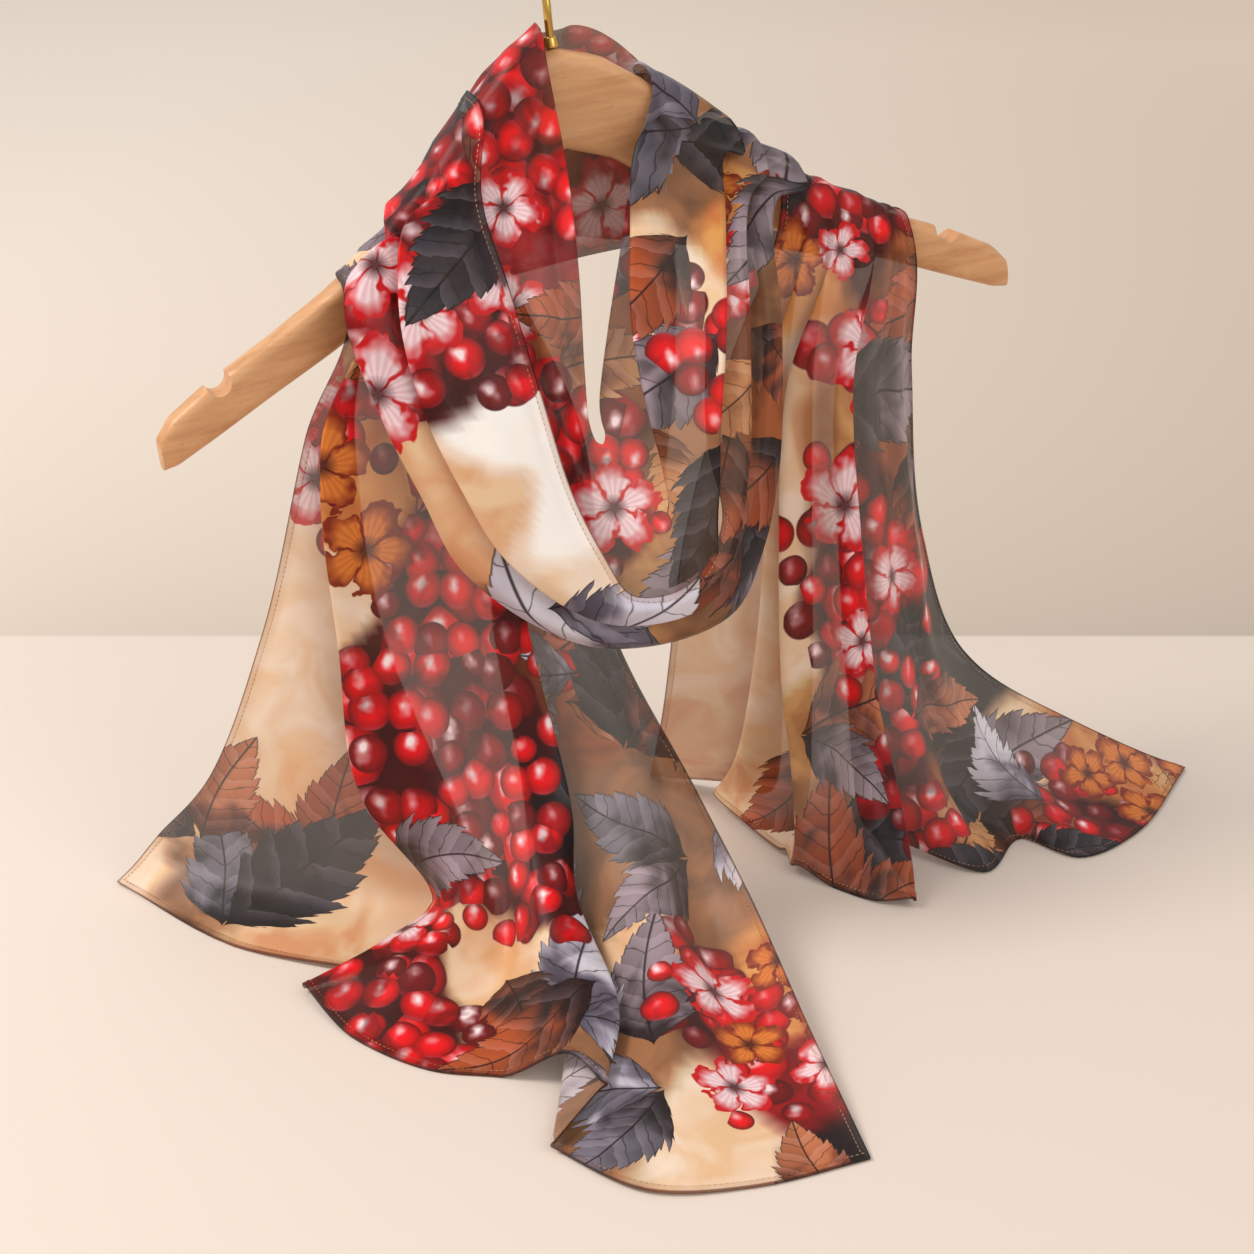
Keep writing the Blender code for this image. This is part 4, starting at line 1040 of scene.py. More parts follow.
def sewing_thread():
    """Spun polyester thread, matt, in a brown that goes with the print, a little uneven in tone."""
    made, node = new_look("sewing_thread")
    tone = node("TexNoise", node("TexCoord").outputs["Object"],
                named={"Scale": 60.0, "Detail": 1.0})
    colour = node("ValToRGB", tone, stops=[(0.35, "#7E4630"), (0.5, "#AC744C"),
                                           (0.65, "#CFA47C")])
    return finish_look(made, {"Base Color": colour, "Roughness": 0.8})


# ---------------------------------------------------------------- the print's layout
# A zone is a patch of the print round a place on the cloth: the number of the fold line and of the
# station it lies at, both with fractions, its half width in mm, and what grows there.
Zone = namedtuple("Zone", "fold station size kind")
# What grows in a kind of zone: ground colour, shares of places with leaves, berries and petals,
# and the leaves' tints.
Kind = namedtuple("Kind", "ground leaves berries petals tints")
KINDS = {
    "cream": Kind("#F2DCC5", 0.0, 0.0, 0.0, ("ochre",)),
    "sand": Kind("#E9C7A8", 0.0, 0.0, 0.0, ("ochre",)),
    "white": Kind("#FFFCF8", 0.0, 0.0, 0.0, ("lilac",)),
    "berries": Kind("#60161A", 0.04, 1.0, 0.26, ("charcoal", "lilac")),
    "vine": Kind("#F2DCC2", 0.15, 0.9, 0.0, ("slate", "mauve")),
    "petals": Kind("#A0182A", 0.0, 0.7, 0.8, ("lilac",)),
    "rust": Kind("#EFD2B4", 1.0, 0.0, 0.0, ("rust", "terracotta", "rust", "mauve")),
    "mauve": Kind("#CDA47C", 1.0, 0.0, 0.0, ("mauve", "rust", "terracotta", "mauve")),
    "slate": Kind("#A88468", 1.0, 0.0, 0.0,
                  ("slate", "charcoal", "mauve", "slate", "lilac", "rust")),
    "dark": Kind("#30242A", 0.9, 0.05, 0.0,
                 ("charcoal", "slate", "charcoal", "mauve", "terracotta")),
    "orange": Kind("#DDA878", 0.2, 0.1, 0.9, ("ochre", "terracotta")),
    "brown": Kind("#A87250", 0.9, 0.1, 0.0, ("rust", "mauve", "ochre")),
}
ZONES = {
    "scarf_tail_left": rows(
        Zone,
        (10.5, 6.2, 34, "mauve"), (9.2, 6.5, 26, "mauve"), (7.5, 6.0, 30, "rust"),
        (8.3, 7.2, 26, "orange"), (10.6, 7.0, 26, "petals"), (6.0, 6.8, 26, "brown"),
        (11.4, 8.1, 55, "cream"), (9.2, 7.8, 30, "cream"), (5.2, 7.6, 38, "berries"),
        (7.7, 8.2, 38, "berries"), (6.9, 8.8, 48, "berries"), (8.4, 9.1, 46, "berries"),
        (6.0, 9.5, 42, "berries"), (11.2, 9.5, 44, "rust"), (11.3, 10.7, 26, "slate"),
        (10.2, 10.3, 38, "rust"), (12.0, 11.6, 30, "cream"), (10.4, 11.6, 34, "sand"),
        (8.6, 11.3, 46, "berries"), (7.8, 11.8, 38, "berries"), (7.2, 10.2, 30, "rust"),
        (6.0, 10.6, 38, "rust"), (5.0, 10.9, 30, "mauve"), (4.6, 9.2, 34, "dark"),
        (3.0, 8.6, 40, "brown"), (2.6, 9.6, 44, "slate"), (4.2, 11.6, 40, "slate"),
        (2.2, 10.4, 30, "rust"), (1.2, 9.6, 34, "slate"), (1.5, 10.6, 30, "berries"),
        (2.6, 11.5, 40, "slate"), (1.5, 11.6, 34, "cream"), (0.5, 10.7, 30, "orange"),
        (0.6, 11.5, 34, "petals"), (0.2, 11.9, 26, "dark"), (1.0, 8.2, 30, "slate")
    ),
    "scarf_tail_right": rows(
        Zone,
        (1.0, 5.8, 32, "dark"), (2.4, 6.5, 26, "orange"), (4.2, 6.1, 30, "berries"),
        (6.6, 6.1, 32, "berries"), (9.0, 6.0, 34, "berries"), (11.5, 6.2, 30, "brown"),
        (3.2, 7.3, 44, "cream"), (0.8, 8.0, 60, "cream"), (2.4, 8.6, 50, "cream"),
        (5.4, 7.2, 30, "mauve"), (6.4, 7.7, 24, "berries"), (6.0, 8.3, 24, "berries"),
        (6.5, 8.9, 22, "berries"), (8.8, 7.6, 30, "berries"), (9.4, 8.2, 26, "petals"),
        (8.0, 8.9, 28, "brown"), (11.4, 7.5, 38, "brown"), (10.9, 6.9, 30, "brown"),
        (8.6, 6.9, 28, "petals"), (1.2, 10.2, 50, "sand"), (2.8, 9.9, 26, "rust"),
        (4.6, 9.4, 28, "mauve"), (4.6, 10.3, 30, "slate"), (6.0, 10.9, 30, "rust"),
        (3.6, 11.4, 40, "cream"), (8.0, 10.2, 34, "berries"), (10.6, 8.9, 34, "dark"),
        (12.0, 9.2, 36, "dark"), (11.4, 9.9, 34, "rust"), (9.4, 10.6, 34, "brown"),
        (10.2, 11.2, 34, "dark"), (12.6, 10.5, 32, "orange"), (11.5, 11.2, 34, "berries"),
        (12.9, 11.5, 34, "orange")
    ),
    "scarf_loop_outer": rows(
        Zone,
        (0.4, 4.6, 26, "dark"), (1.6, 4.4, 26, "berries"), (0.9, 5.6, 26, "dark"),
        (2.0, 5.8, 26, "berries"), (0.8, 6.5, 22, "petals"), (1.6, 6.9, 34, "berries"),
        (0.6, 7.3, 32, "berries"), (1.5, 7.7, 26, "berries"), (0.8, 8.5, 34, "white"),
        (0.4, 9.3, 40, "white"), (1.6, 9.2, 34, "sand"), (3.6, 7.6, 32, "petals"),
        (4.2, 9.0, 44, "sand"), (1.0, 10.4, 34, "cream"), (4.8, 10.6, 32, "slate"),
        (1.2, 11.6, 36, "mauve"), (4.5, 12.0, 34, "slate"), (1.0, 13.2, 34, "slate"),
        (4.6, 13.6, 34, "brown"), (1.4, 14.6, 28, "brown"), (0.8, 15.4, 22, "petals"),
        (1.6, 16.2, 30, "orange"), (4.5, 15.4, 34, "slate"), (2.0, 18.0, 34, "slate")
    ),
    "scarf_loop_inner": rows(
        Zone,
        (2.4, 3.0, 30, "berries"), (1.4, 4.4, 26, "berries"), (1.6, 5.3, 20, "petals"),
        (3.2, 4.6, 30, "berries"), (1.0, 6.4, 30, "berries"), (2.6, 6.6, 34, "petals"),
        (1.0, 7.8, 30, "brown"), (2.8, 8.4, 34, "berries"), (1.0, 9.2, 26, "berries"),
        (2.4, 10.0, 28, "berries"), (1.6, 10.9, 26, "petals"), (2.8, 11.2, 30, "mauve"),
        (1.6, 12.2, 30, "slate"), (3.4, 12.8, 30, "mauve"), (3.2, 13.7, 26, "slate"),
        (3.0, 14.9, 22, "vine"), (2.6, 15.8, 22, "cream"), (3.9, 16.1, 22, "orange"),
        (1.2, 14.6, 26, "brown"), (3.4, 16.4, 28, "slate"), (1.8, 16.8, 28, "slate"),
        (2.6, 18.4, 34, "slate")
    ),
    "scarf_back": rows(
        Zone,
        (1.0, 2.4, 40, "brown"), (2.9, 3.2, 34, "petals"), (2.0, 4.4, 34, "berries")
    ),
    "scarf_collar": rows(
        Zone,
        (1.0, 2.0, 34, "berries"), (3.4, 2.6, 34, "dark"), (1.6, 3.6, 34, "slate"),
        (4.2, 4.2, 34, "brown"), (1.0, 4.8, 34, "rust")
    ),
}
TINTS = {                      # a leaf's colour at its tip and at its stalk
    "rust": ("#B46E4C", "#38282A"),
    "terracotta": ("#C28A6C", "#6A3A30"),
    "mauve": ("#A4989E", "#40363C"),
    "slate": ("#8A8690", "#27242A"),
    "charcoal": ("#4A484F", "#141316"),
    "lilac": ("#DCD8E2", "#716C78"),
    "ochre": ("#D4A47C", "#8C5E42"),
}
SCATTER_SWING = 0.22           # how far a scattered place swings to each side, in steps
SCATTER_ROW = 0.87             # gap of two rows of places, in steps
CLUSTER_STEP = 62.0            # spacing of the leaf clusters, in mm
SINGLE_STEP = 0.8              # spacing of the single leaves, in cluster steps
CLEAR_SHARE = 0.62             # least gap of two leaves of a layer, as a share of their size
LEAF_SIZES = (62.0, 104.0)     # shortest and longest leaf
LEAF_TIP = 0.7                 # the zone at this share of a leaf has to suit it too
CLUSTER_TURN = 68.0            # degrees from one leaf of a cluster to the next
CLUSTER_SWING = 12.0           # and how far each swings from that
BUNCH_STEP = 38.0              # spacing of the bunches of berries
BUNCH_REACHES = (27, 33)
BERRY_STEPS = (18.5, 26.0)     # spacing of the berries in the front and the back layer
PETAL_STEP = 44.0
PETAL_SIZES = (19, 28)         # radius of a flower
WASH_BLUR = 0.12               # softness of the ground's colour changes, in zone sizes
WASH_RIPPLE = 0.1              # and how far its edges ripple
RIPPLE_SIZES = (9, 11)         # size of the ripples across and along the cloth, in mm
NO_BUNCH = (0.0, 0.0, -999.0)
AWAY = (-9.0, -9.0, 0.0)       # a place outside every motif
LEAF_BOX = (0.5, (0.56, 0.34), 1.7)    # a motif's middle along X, its half sizes, its reach
PETAL_BOX = (0, (1, 1), 1.8)
# One motif in the flat cloth: its middle or foot, its turn, its size, and its tint or its reach
Motif = namedtuple("Motif", "x y turn size tone")


def flat_place(shell, fold, station):
    """A place of the flat cloth, from its fold line and station."""
    column = np.interp(fold, rising(shell.folds), np.arange(len(shell.folds)))
    row = np.interp(station, shell.stations, np.arange(len(shell.stations)))
    return shell.flat[round(row), round(column)]


def zone_map(shell, zones):
    places = np.array([flat_place(shell, zone.fold, zone.station) for zone in zones])
    sizes = np.array([zone.size for zone in zones], float)
    return places, sizes


def kind_at(place, places, sizes, zones):
    """The kind of the zone that a place of the flat cloth lies in."""
    near = np.linalg.norm(places - place, axis=1) / sizes
    return KINDS[zones[int(near.argmin())].kind]


def scattered(shell, step, draw):
    """Uneven places over the flat cloth, about a step apart."""
    points = shell.flat.reshape(-1, 2)
    low = points.min(0)
    high = points.max(0)
    places = []
    row = 0
    y = low[1]
    while y < high[1] + step:
        x = low[0] + (row % 2) * step / 2
        while x < high[0] + step:
            place = np.array([middle + draw.uniform(-SCATTER_SWING, SCATTER_SWING) * step
                              for middle in (x, y)])
            if np.linalg.norm(points - place, axis=1).min() < step * 0.5:
                places.append(place)
            x += step
        y += step * SCATTER_ROW
        row += 1
    return places


def clear_of(layer, motif):
    """Whether a leaf's middle is far enough from those of the leaves in its layer."""
    def middle(leaf):
        return np.array((leaf.x + math.cos(leaf.turn) * leaf.size / 2,
                         leaf.y + math.sin(leaf.turn) * leaf.size / 2))
    return all(np.linalg.norm(middle(other) - middle(motif))
               > CLEAR_SHARE * (other.size + motif.size) / 2 for other in layer)


def leaf_layers(shell, zones, draw):
    """Clusters of three leaves, one for each layer, with single leaves between them."""
    places, sizes = zone_map(shell, zones)
    layers = [[], [], []]
    for step, swings in ((CLUSTER_STEP, (-1, 0, 1)), (CLUSTER_STEP * SINGLE_STEP, (0,))):
        for place in scattered(shell, step, draw):
            kind = kind_at(place, places, sizes, zones)
            turn = draw.uniform(0, 360)
            for k, swing in enumerate(swings):
                way = math.radians(turn + swing * CLUSTER_TURN
                                   + draw.uniform(-CLUSTER_SWING, CLUSTER_SWING))
                size = draw.uniform(*LEAF_SIZES)
                leaf = Motif(*place, way, size, list(TINTS).index(draw.choice(kind.tints)))
                layer = layers[k if len(swings) > 1 else draw.randrange(3)]
                end = place + np.array((math.cos(way), math.sin(way))) * size * LEAF_TIP
                share = min(kind.leaves, kind_at(end, places, sizes, zones).leaves)
                if draw.random() < share and clear_of(layer, leaf):
                    layer.append(leaf)
    return layers


def bunch_layers(shell, zones, draw):
    """Two layers of bunches: each one's middle and its reach in mm."""
    places, sizes = zone_map(shell, zones)
    layers = [[], []]
    for layer in layers:
        for place in scattered(shell, BUNCH_STEP, draw):
            kind = kind_at(place, places, sizes, zones)
            reach = draw.uniform(*BUNCH_REACHES)
            if draw.random() < kind.berries:
                layer.append((*place, reach))
    return layers


def petal_layer(shell, zones, draw):
    """Flowers: the tone is 0 for white ones and 1 for orange ones."""
    places, sizes = zone_map(shell, zones)
    layer = []
    for place in scattered(shell, PETAL_STEP, draw):
        kind = kind_at(place, places, sizes, zones)
        size = draw.uniform(*PETAL_SIZES)
        turn = draw.uniform(0, 6)
        if draw.random() < kind.petals:
            layer.append(Motif(*place, turn, size, 1.0 if kind is KINDS["orange"] else 0.0))
    return layer


def store_motifs(mesh, name, motifs, corners, centres, foot, half, limit):
    """Writes where each face corner lies in the motif nearest to its face."""
    values = np.tile(np.array(AWAY, np.float32), (len(corners), 1))
    if motifs:
        table = np.array(motifs)
        c, s = np.cos(table[:, 2]), np.sin(table[:, 2])
        step = centres[:, None, :] - table[None, :, :2]
        along = (step[..., 0] * c + step[..., 1] * s) / table[:, 3]
        across = (step[..., 1] * c - step[..., 0] * s) / table[:, 3]
        far = ((along - foot) / half[0]) ** 2 + (across / half[1]) ** 2
        pick = np.repeat(far.argmin(1), 4)
        near = np.repeat(far.min(1) < limit, 4)
        chosen = table[pick]
        step = corners - chosen[:, :2]
        c, s = np.cos(chosen[:, 2]), np.sin(chosen[:, 2])
        inside = np.stack([(step[:, 0] * c + step[:, 1] * s) / chosen[:, 3],
                           (step[:, 1] * c - step[:, 0] * s) / chosen[:, 3], chosen[:, 4]], axis=1)
        values[near] = inside[near]
    layer = mesh.attributes.new(name, "FLOAT_VECTOR", "CORNER")
    layer.data.foreach_set("vector", values.astype(np.float32).ravel())


def store_bunches(mesh, name, bunches, centres):
    """Writes each face's two nearest bunches: the middle and the reach of each."""
    table = np.array(bunches + [NO_BUNCH, NO_BUNCH])
    far = np.linalg.norm(centres[:, None] - table[None, :, :2], axis=2) - table[:, 2]
    order = np.argpartition(far, 1, axis=1)
    for place, key in enumerate((name, name + "_next")):
        home = mesh.attributes.new(key, "FLOAT_VECTOR", "FACE")
        home.data.foreach_set("vector", table[order[:, place]].astype(np.float32).ravel())


def print_layout(shell, zones, draw):
    """Stores the print's layers and its ground colours on a shell."""
    mesh = shell.piece.data
    columns = shell.flat.shape[1]
    corner_vertex = np.zeros(len(mesh.loops), int)
    mesh.loops.foreach_get("vertex_index", corner_vertex)
    corners = shell.flat.reshape(-1, 2)[corner_vertex]
    centres = corners.reshape(-1, 4, 2).mean(1)
    for k, motifs in enumerate(leaf_layers(shell, zones, draw)):
        store_motifs(mesh, f"leaf_{k + 1}", motifs, corners, centres, *LEAF_BOX)
    for k, bunches in enumerate(bunch_layers(shell, zones, draw)):
        store_bunches(mesh, f"bunch_{k + 1}", bunches, centres)
    store_motifs(mesh, "petals", petal_layer(shell, zones, draw), corners, centres, *PETAL_BOX)
    places, sizes = zone_map(shell, zones)
    points = shell.flat.reshape(-1, 2)
    near = np.linalg.norm(points[:, None] - places[None], axis=2) / sizes
    across, along = RIPPLE_SIZES
    ripple = (np.sin(points[:, :1] / across + np.arange(len(zones)))
              * np.sin(points[:, 1:] / along + 2))
    near = near + WASH_RIPPLE * ripple
    near = near - near.min(1, keepdims=True)
    weight = np.exp(-(near / WASH_BLUR) ** 2)
    grounds = np.array([linear(KINDS[zone.kind].ground) for zone in zones])
    ground = weight @ grounds / weight.sum(1, keepdims=True)
    wash = mesh.attributes.new("wash", "FLOAT_COLOR", "POINT")
    wash.data.foreach_set("color", ground.astype(np.float32).ravel())


# ---------------------------------------------------------------- hems and stitches
def walked(line):
    """The way walked along a line at each of its places."""
    return np.concatenate([[0], np.cumsum(np.linalg.norm(np.diff(line, axis=0), axis=1))])


def edge_walks(grid, hems):
    """Each hem's distance from its edge at every mesh point, in mm."""
    across = np.linalg.norm(np.diff(grid, axis=1), axis=2)
    along = np.linalg.norm(np.diff(grid, axis=0), axis=2)
    left = np.pad(np.cumsum(across, axis=1), ((0, 0), (1, 0)))
    right = np.pad(np.cumsum(across[:, ::-1], axis=1), ((0, 0), (1, 0)))[:, ::-1]
    end = np.pad(np.cumsum(along[::-1], axis=0), ((1, 0), (0, 0)))[::-1]
    return [walk for walk, hem in ((left, hems.first), (right, hems.last), (end, hems.end)) if hem]


def mark_edges(shell, hems):
    """Stores the distance from the nearest hemmed edge on the shell."""
    far = np.full(shell.grid.shape[:2], NO_HEM)
    nearest = np.minimum.reduce(edge_walks(shell.grid, hems) + [far])
    edge = shell.piece.data.attributes.new("edge", "FLOAT", "POINT")
    edge.data.foreach_set("value", nearest.astype(np.float32).ravel())


def stitch_line(grid, normals):
    """The line of a hem's stitches on a grid whose first column is the hem's edge."""
    places = []
    for row, normal in zip(grid, normals):
        walk = walked(row)
        at = min(STITCH_AT, walk[-1] / 2)
        places.append([np.interp(at, walk, row[:, k]) for k in range(3)]
                      + [np.interp(at, walk, normal[:, k]) for k in range(3)])
    return np.array(places)


def even_steps(line, step):
    """Places a step apart along a line, with the line's way at each."""
    walk = walked(line[:, :3])
    stops = np.arange(step, walk[-1] - step, step)
    places = np.stack([np.interp(stops, walk, line[:, k]) for k in range(6)], axis=1)
    ahead = np.stack([np.interp(stops + step / 4, walk, line[:, k]) for k in range(3)], axis=1)
    return places[:, :3], places[:, 3:], ahead - places[:, :3]


def stitches(name, shell, hems):
    """Small lozenge stitches along the hems, on both faces of the cloth."""
    normals = grid_normals(shell.grid)
    lines = []
    if hems.first:
        lines.append(stitch_line(shell.grid, normals))
    if hems.last:
        lines.append(stitch_line(shell.grid[:, ::-1], normals[:, ::-1]))
    if hems.end:
        lines.append(stitch_line(shell.grid[::-1].transpose(1, 0, 2),
                                 normals[::-1].transpose(1, 0, 2)))
    half, wide, high = STITCH_SIZE
    points = []
    for line in lines:
        for place, normal, way in zip(*even_steps(line, STITCH_PITCH)):
            way = way / np.linalg.norm(way)
            normal = normal / np.linalg.norm(normal)
            side = np.cross(normal, way)
            for face in (-1, 1):
                middle = place + normal * face * HEM_THICK / 2
                points += [middle - way * half, middle + side * wide, middle + way * half,
                           middle - side * wide, middle + normal * high, middle - normal * high]
    lozenge = np.array([(0, 1, 4), (1, 2, 4), (2, 3, 4), (3, 0, 4),
                        (1, 0, 5), (2, 1, 5), (3, 2, 5), (0, 3, 5)])
    count = len(points) // 6
    faces = (lozenge[None] + 6 * np.arange(count)[:, None, None]).reshape(-1, 3)
    return mesh_piece(name, np.array(points), faces)


# ---------------------------------------------------------------- hanger, ferrule and hook
def apply_all(piece):
    only(piece)
    for modifier in list(piece.modifiers):
        bpy.ops.object.modifier_apply(modifier=modifier.name)


def on_wood(side, turn):
    """A place on the wood: turn goes round its section, 0 to 180 over the top from the front."""
    wood = wood_at(side)
    depth = min(WOOD_ROUND, (wood.top - wood.bottom) / 2)
    upper = turn <= 180
    c, s = rounded(math.radians(turn))
    centre = wood.top - depth if upper else wood.bottom + depth
    return hanger_to_frame(side, -c * wood.thick / 2, centre + s * depth)


def carve_hanger():
    """The bowed wood: a round bar that is cut into short lengths and shaped, then notched."""
    reach = WOOD[-1].out
    bpy.ops.object.select_all(action="DESELECT")
    bpy.ops.mesh.primitive_cylinder_add(vertices=WOOD_SIDES, radius=1, depth=2 * reach,
                                        rotation=(0, math.pi / 2, 0), calc_uvs=False)
    bar = bpy.context.object
    bar.name = "hanger_wood"
    bpy.ops.object.transform_apply(location=False, rotation=True, scale=False)
    bpy.ops.object.mode_set(mode="EDIT")
    for side in WOOD_CUTS:
        for way in (-1, 1):
            bpy.ops.mesh.select_all(action="SELECT")
            bpy.ops.mesh.bisect(plane_co=(way * side, 0, 0), plane_no=(1, 0, 0))
    bpy.ops.object.mode_set(mode="OBJECT")
    step = 360 / WOOD_SIDES
    half_count = WOOD_SIDES // 2
    for vertex in bar.data.vertices:
        turn = math.degrees(math.atan2(vertex.co.z, -vertex.co.y)) % 360
        half, place = divmod(round((turn - step / 2) / step) % WOOD_SIDES, half_count)
        turn = 180 * place / (half_count - 1) + 180 * half
        if half and place == 0:
            turn += TIE_BREAK
        vertex.co = on_wood(vertex.co.x, turn) * MM
    for way in (-1, 1):
        height = wood_at(NOTCH_AT).top + NOTCH_RADIUS - NOTCH_DEPTH
        bpy.ops.object.select_all(action="DESELECT")
        bpy.ops.mesh.primitive_cylinder_add(vertices=48, radius=NOTCH_RADIUS * MM,
                                            depth=NOTCH_CUTTER * MM, calc_uvs=False)
        cutter = bpy.context.object
        turn = (Matrix.Rotation(HANGER_TURN, 4, "Z")
                @ Matrix.Rotation(-HANGER_TILT + way * NOTCH_SLOPE, 4, "Y"))
        place = Matrix.Translation(hanger_to_frame(way * NOTCH_AT, 0, height) * MM)
        cutter.matrix_world = place @ turn @ Matrix.Rotation(math.pi / 2, 4, "X")
        cut = bar.modifiers.new("Notch", "BOOLEAN")
        cut.operation = "DIFFERENCE"
        cut.solver = "EXACT"
        cut.object = cutter
        only(bar)
        bpy.ops.object.modifier_apply(modifier="Notch")
        bpy.data.objects.remove(cutter)
    ease = bar.modifiers.new("Ease", "BEVEL")
    ease.width = WOOD_EASE * MM
    ease.segments = 3
    ease.limit_method = "ANGLE"
    ease.angle_limit = math.radians(50)
    apply_all(bar)
    bpy.ops.object.shade_smooth_by_angle(angle=math.radians(35))
    return bar


def rod_route():
    """The rod's middle line from its foot, through its bend and round the hook."""
    up = hanger_to_frame(0, 0, 1) - hanger_to_frame(0, 0, 0)
    foot = hanger_to_frame(0, 0, SEAT_GAP) + up * (FERRULE_HEIGHT - ROD_SUNK)
    along = (Matrix.Rotation(HANGER_TURN, 3, "Z") @ Vector((1, 0, 0))).normalized()
    rise = Vector((0, 0, 1))
    middle_radius = HOOK_RADIUS + ROD_RADIUS
    centre = rise * -HOOK_RADIUS
    out, below = ROD_BEND
    bend = centre + along * out - rise * (middle_radius + below)
    rounds = []
    for angle in spread(HOOK_CUTS, HOOK_START, HOOK_END):
        rounds.append(centre + along * (middle_radius * math.cos(angle))
                      + rise * (middle_radius * math.sin(angle)))
    corners = [foot, foot + up * ROD_RISE, bend, rounds[0], rounds[1]]
    knots = [0.0]
    for a, b in zip(corners, corners[1:]):
        knots.append(knots[-1] + (b - a).length)
    slopes = slopes_at(corners, knots)
    eased = [curve_point(corners, knots, slopes, span, k / ROD_CUTS)
             for span in range(3) for k in range(ROD_CUTS)]
    return eased + rounds


def bend_hook():
    """Brass wire along its route, with a rounded tip, and the turned ferrule at its foot."""
    route = rod_route()
    curve = bpy.data.curves.new("hook_rod", "CURVE")
    curve.dimensions = "3D"
    curve.bevel_depth = ROD_RADIUS * MM
    curve.bevel_resolution = 6
    curve.use_fill_caps = True
    curve.resolution_u = 1
    curve.render_resolution_u = 1
    way = (route[-1] - route[-2]).normalized()
    tip = [(route[-1] + way * ROD_RADIUS * math.sin(a), math.cos(a)) for a in spread(6, 0.2, 1.45)]
    stops = [(place, 1.0) for place in route] + tip
    spline = curve.splines.new("POLY")
    spline.points.add(len(stops) - 1)
    for point, (place, size) in zip(spline.points, stops):
        point.co = (*(place * MM), 1)
        point.radius = size
    rod = bpy.data.objects.new("hook_rod", curve)
    bpy.context.scene.collection.objects.link(rod)
    only(rod)
    bpy.ops.object.convert(target="MESH")
    rod = bpy.context.object
    bpy.ops.object.shade_smooth_by_angle(angle=math.radians(40))

    up = hanger_to_frame(0, 0, 1) - hanger_to_frame(0, 0, 0)
    base = hanger_to_frame(0, 0, SEAT_GAP)
    bpy.ops.object.select_all(action="DESELECT")
    bpy.ops.mesh.primitive_cone_add(vertices=48, radius1=FERRULE_RADIUS * MM,
                                    radius2=FERRULE_NECK * MM, depth=FERRULE_HEIGHT * MM,
                                    calc_uvs=False)
    ferrule = bpy.context.object
    ferrule.name = "hook_ferrule_turned"
    ferrule.matrix_world = (Matrix.Translation((base + up * FERRULE_HEIGHT / 2) * MM)
                            @ up.to_track_quat("Z", "Y").to_matrix().to_4x4())
    bpy.ops.object.transform_apply(location=True, rotation=True, scale=True)
    bpy.ops.object.mode_set(mode="EDIT")
    bpy.ops.mesh.select_all(action="SELECT")
    bpy.ops.mesh.bevel(offset=FERRULE_EASE * MM, segments=3)
    bpy.ops.object.mode_set(mode="OBJECT")
    bpy.ops.object.shade_smooth_by_angle(angle=math.radians(35))
    return rod, ferrule


# ---------------------------------------------------------------- stage, light and camera
TABLE_BACK = 283.0             # where the table ends and the pale wall tone starts, in mm
TABLE_SOFT = 4.0               # width of the change from one to the other
LIGHT_FALLOFF_ENDS = (-0.6, 0.9)       # left and right ends of the painted light falloff across the tones, in metres
WALL_LIGHT_FAR = 2.8                 # depth at which the far tones are reached: painted light, the wall tone brighter away from the table
FLOOR_SIZE = 24
TABLE_TONE_AND_SHADE = ("#E3D6CA", "#D4C6BA")       # at its left and its right: the table's pale tone with painted shade, darker to the right as if lit from the left
WALL_TONE_AND_SHADE = ("#D8C9BB", "#A89A8A")        # where it meets the table, left and right: painted shade, darker to the right and darker near the table
FAR_WALL_TONE_AND_LIGHT = ("#FFF2E4", "#F4DFCA")         # far behind, left and right: painted light, brighter away from the table
ROOM_TONE = "#FFFDFB"
ROOM_STRENGTH = 0.66
LAMPS = (                      # name, place, aim, size, power and tone
    ("window", (-1.7, -0.36, 1.8), (0.05, 0.0, -0.3), 1.2, 53, "#FFF9F4"),
    ("fill", (1.4, -1.6, 0.9), (0.05, 0.0, -0.3), 1.6, 13, "#FFF7F0"),
)
CAMERA_LENS = 68.9             # mm, on a sensor of 36 mm
CAMERA_PLACE = (0.044, -1.159, 0.0897)
CAMERA_TURN = (math.radians(68), 0, 0)


def set_stage():
    """A pale table that ends in a wall tone, both with painted light: darker to the right, and the
    wall tone darker near the table and brighter far behind.
    """
    bpy.ops.object.select_all(action="DESELECT")
    bpy.ops.mesh.primitive_plane_add(size=FLOOR_SIZE, location=(0, 0, TABLE * MM))
    floor = bpy.context.object
    floor.name = "floor"
    made, node = new_look("pale_floor_with_painted_light")
    x, y, _ = node("SeparateXYZ", node("TexCoord").outputs["Object"]).outputs
    edge = TABLE_BACK * MM
    wall = node("MapRange", y, edge, edge + TABLE_SOFT * MM, 0.0, 1.0)
    # painted shade: every tone darkens from left to right, standing in for light falling from the
    # left
    right = node("MapRange", x, *LIGHT_FALLOFF_ENDS, 0.0, 1.0)
    # painted light on the wall tone: darker where it meets the table, brighter far behind
    depth = node("MapRange", y, edge, WALL_LIGHT_FAR, 0.0, 1.0)
    depth = node("Math", depth, 0.6, operation="POWER")
    table, near, far = (node("MixRGB", right, *map(linear, tones))
                        for tones in (TABLE_TONE_AND_SHADE, WALL_TONE_AND_SHADE, FAR_WALL_TONE_AND_LIGHT))
    tone = node("MixRGB", wall, table, node("MixRGB", depth, near, far))
    floor.data.materials.append(finish_look(made, {"Base Color": tone, "Roughness": 0.7}))


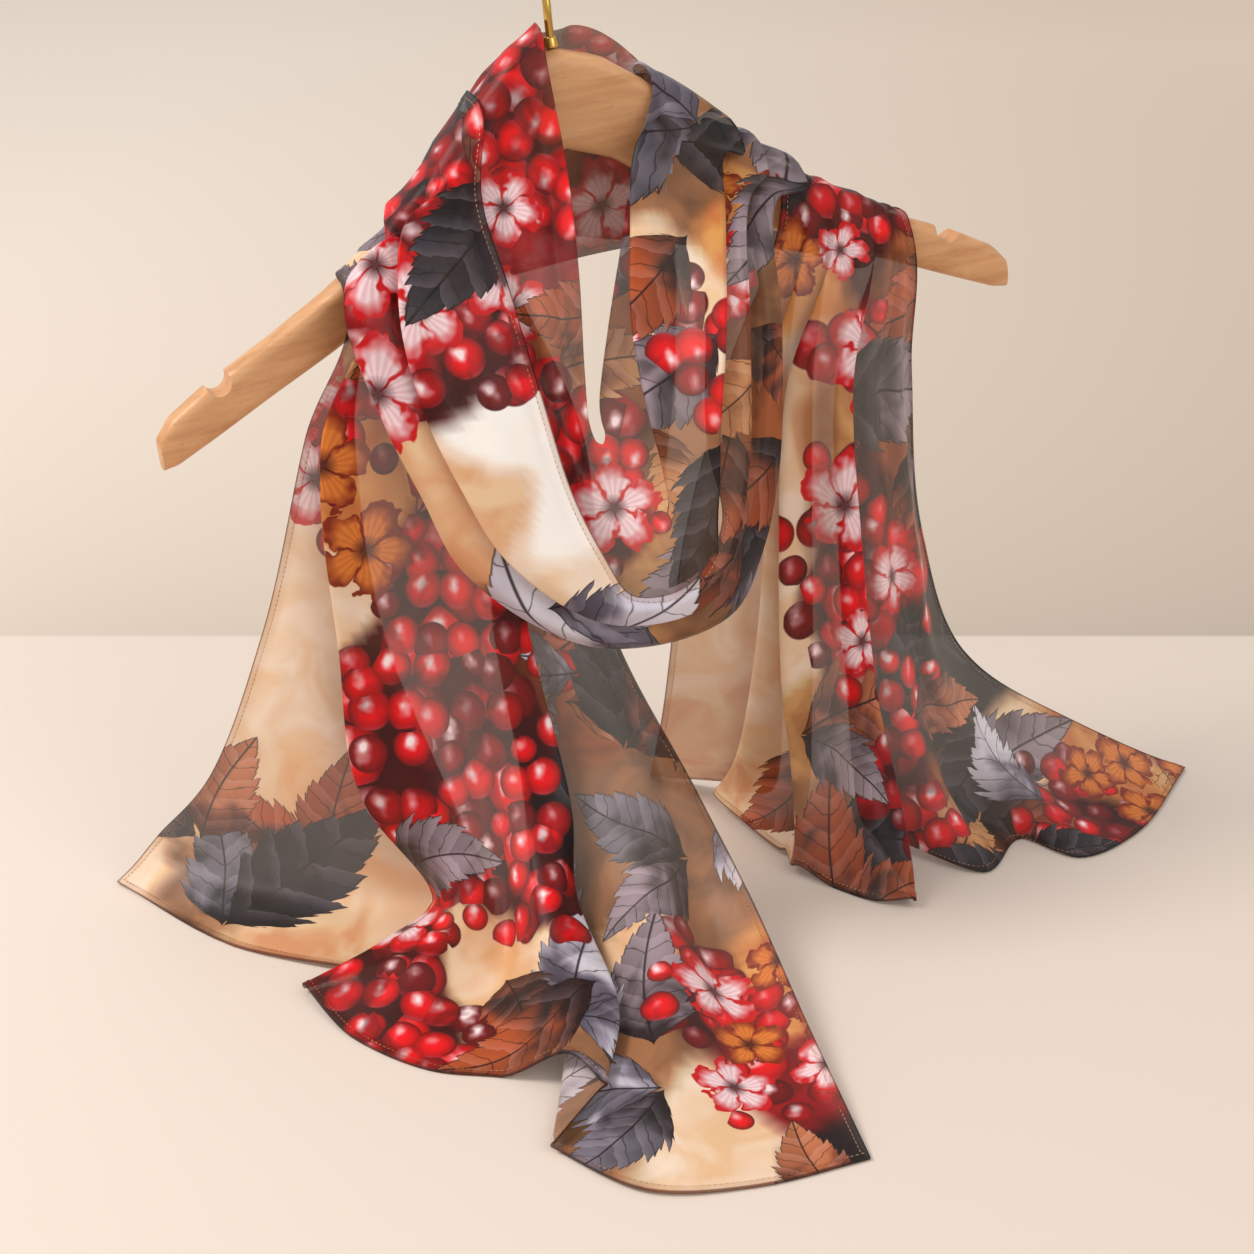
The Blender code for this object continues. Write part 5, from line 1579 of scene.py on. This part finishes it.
def set_light():
    """One soft window light, a weak fill and a warm room."""
    world = bpy.data.worlds.new("room")
    bpy.context.scene.world = world
    world.use_nodes = True
    for socket, value in zip(world.node_tree.nodes["Background"].inputs,
                             (linear(ROOM_TONE), ROOM_STRENGTH)):
        socket.default_value = value
    for name, place, aim, size, power, tone in LAMPS:
        bpy.ops.object.light_add(type="AREA", location=place)
        lamp = bpy.context.object
        lamp.name = name
        lamp.data.shape = "DISK"
        lamp.data.size = size
        lamp.data.energy = power
        lamp.data.color = linear(tone)[:3]
        way = Vector(aim) - Vector(place)
        lamp.rotation_euler = way.to_track_quat("-Z", "Y").to_euler()


def set_camera():
    camera = bpy.data.objects.new("camera", bpy.data.cameras.new("camera"))
    bpy.context.scene.collection.objects.link(camera)
    camera.data.sensor_width = 36.0
    camera.data.lens = CAMERA_LENS
    camera.location = CAMERA_PLACE
    camera.rotation_euler = CAMERA_TURN
    bpy.context.scene.camera = camera


# ---------------------------------------------------------------- all the pieces
# front: 1 or -1, the way that its creases rise. flat: width and length of what shows, in metres.
Sheet = namedtuple("Sheet", "node lines edges hems front flat")
SHEETS = (
    Sheet("scarf_tail_left", tail_sheet(TAIL_LEFT, LEVELS_LEFT, SEAM_TAIL_LEFT),
          [fold.edge for fold in TAIL_LEFT], Hems(1, 1, 1), -1, (0.575, 0.52)),
    Sheet("scarf_tail_right", tail_sheet(TAIL_RIGHT, LEVELS_RIGHT, SEAM_TAIL_RIGHT),
          [fold.edge for fold in TAIL_RIGHT], Hems(1, 1, 1), 1, (0.515, 0.46)),
    Sheet("scarf_loop_outer", loop_sheet(LOOP_OUTER, OUTER_SHARE, 1.0),
          [fold.edge for fold in LOOP_OUTER], Hems(1, 0, 0), -1, (0.16, 0.66)),
    Sheet("scarf_loop_inner", loop_sheet(LOOP_INNER, 0.0, INNER_SHARE),
          [fold.edge for fold in LOOP_INNER], Hems(0, 0, 0), -1, (0.12, 0.6)),
    Sheet("scarf_back", crossing_sheet(BACK, SEAM_TAIL_LEFT, SEAM_LOOP_RIGHT),
          [0] * len(BACK), Hems(0, 1, 0), 1, (0.08, 0.16)),
    Sheet("scarf_collar", crossing_sheet(COLLAR, SEAM_LOOP_LEFT, SEAM_TAIL_RIGHT),
          [0] * len(COLLAR), Hems(0, 1, 0), 1, (0.11, 0.18)),
)

printed = printed_chiffon()
reverse = chiffon_reverse()
beech = lacquered_beech()
brass = drawn_brass()
thread = sewing_thread()

wood = carve_hanger()
rod, ferrule = bend_hook()
for piece, node, look, slot in ((wood, "hanger", beech, "wood"), (rod, "hook", brass, "brass"),
                                (ferrule, "hook_ferrule", brass, "brass")):
    piece.data.materials.clear()
    piece.data.materials.append(look)
    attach(piece, "root")
    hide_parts(node)

draw = random.Random(19)
for sheet in SHEETS:
    name = sheet.node.replace("scarf", "cloth")
    shell = cloth_shell(name, sheet, CREASES[sheet.node])
    print_layout(shell, ZONES[sheet.node], draw)
    mark_edges(shell, sheet.hems)
    for look in (printed, reverse):
        shell.piece.data.materials.append(look)
    thicken(shell, sheet.hems)
    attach(shell.piece, "root")
    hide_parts(sheet.node)
    if any(sheet.hems):
        seam_piece = stitches(name.replace("cloth", "stitches"), shell, sheet.hems)
        seam_piece.data.materials.append(thread)
        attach(seam_piece, "root")

set_stage()
set_light()
set_camera()
bpy.context.scene.view_settings.view_transform = "Standard"
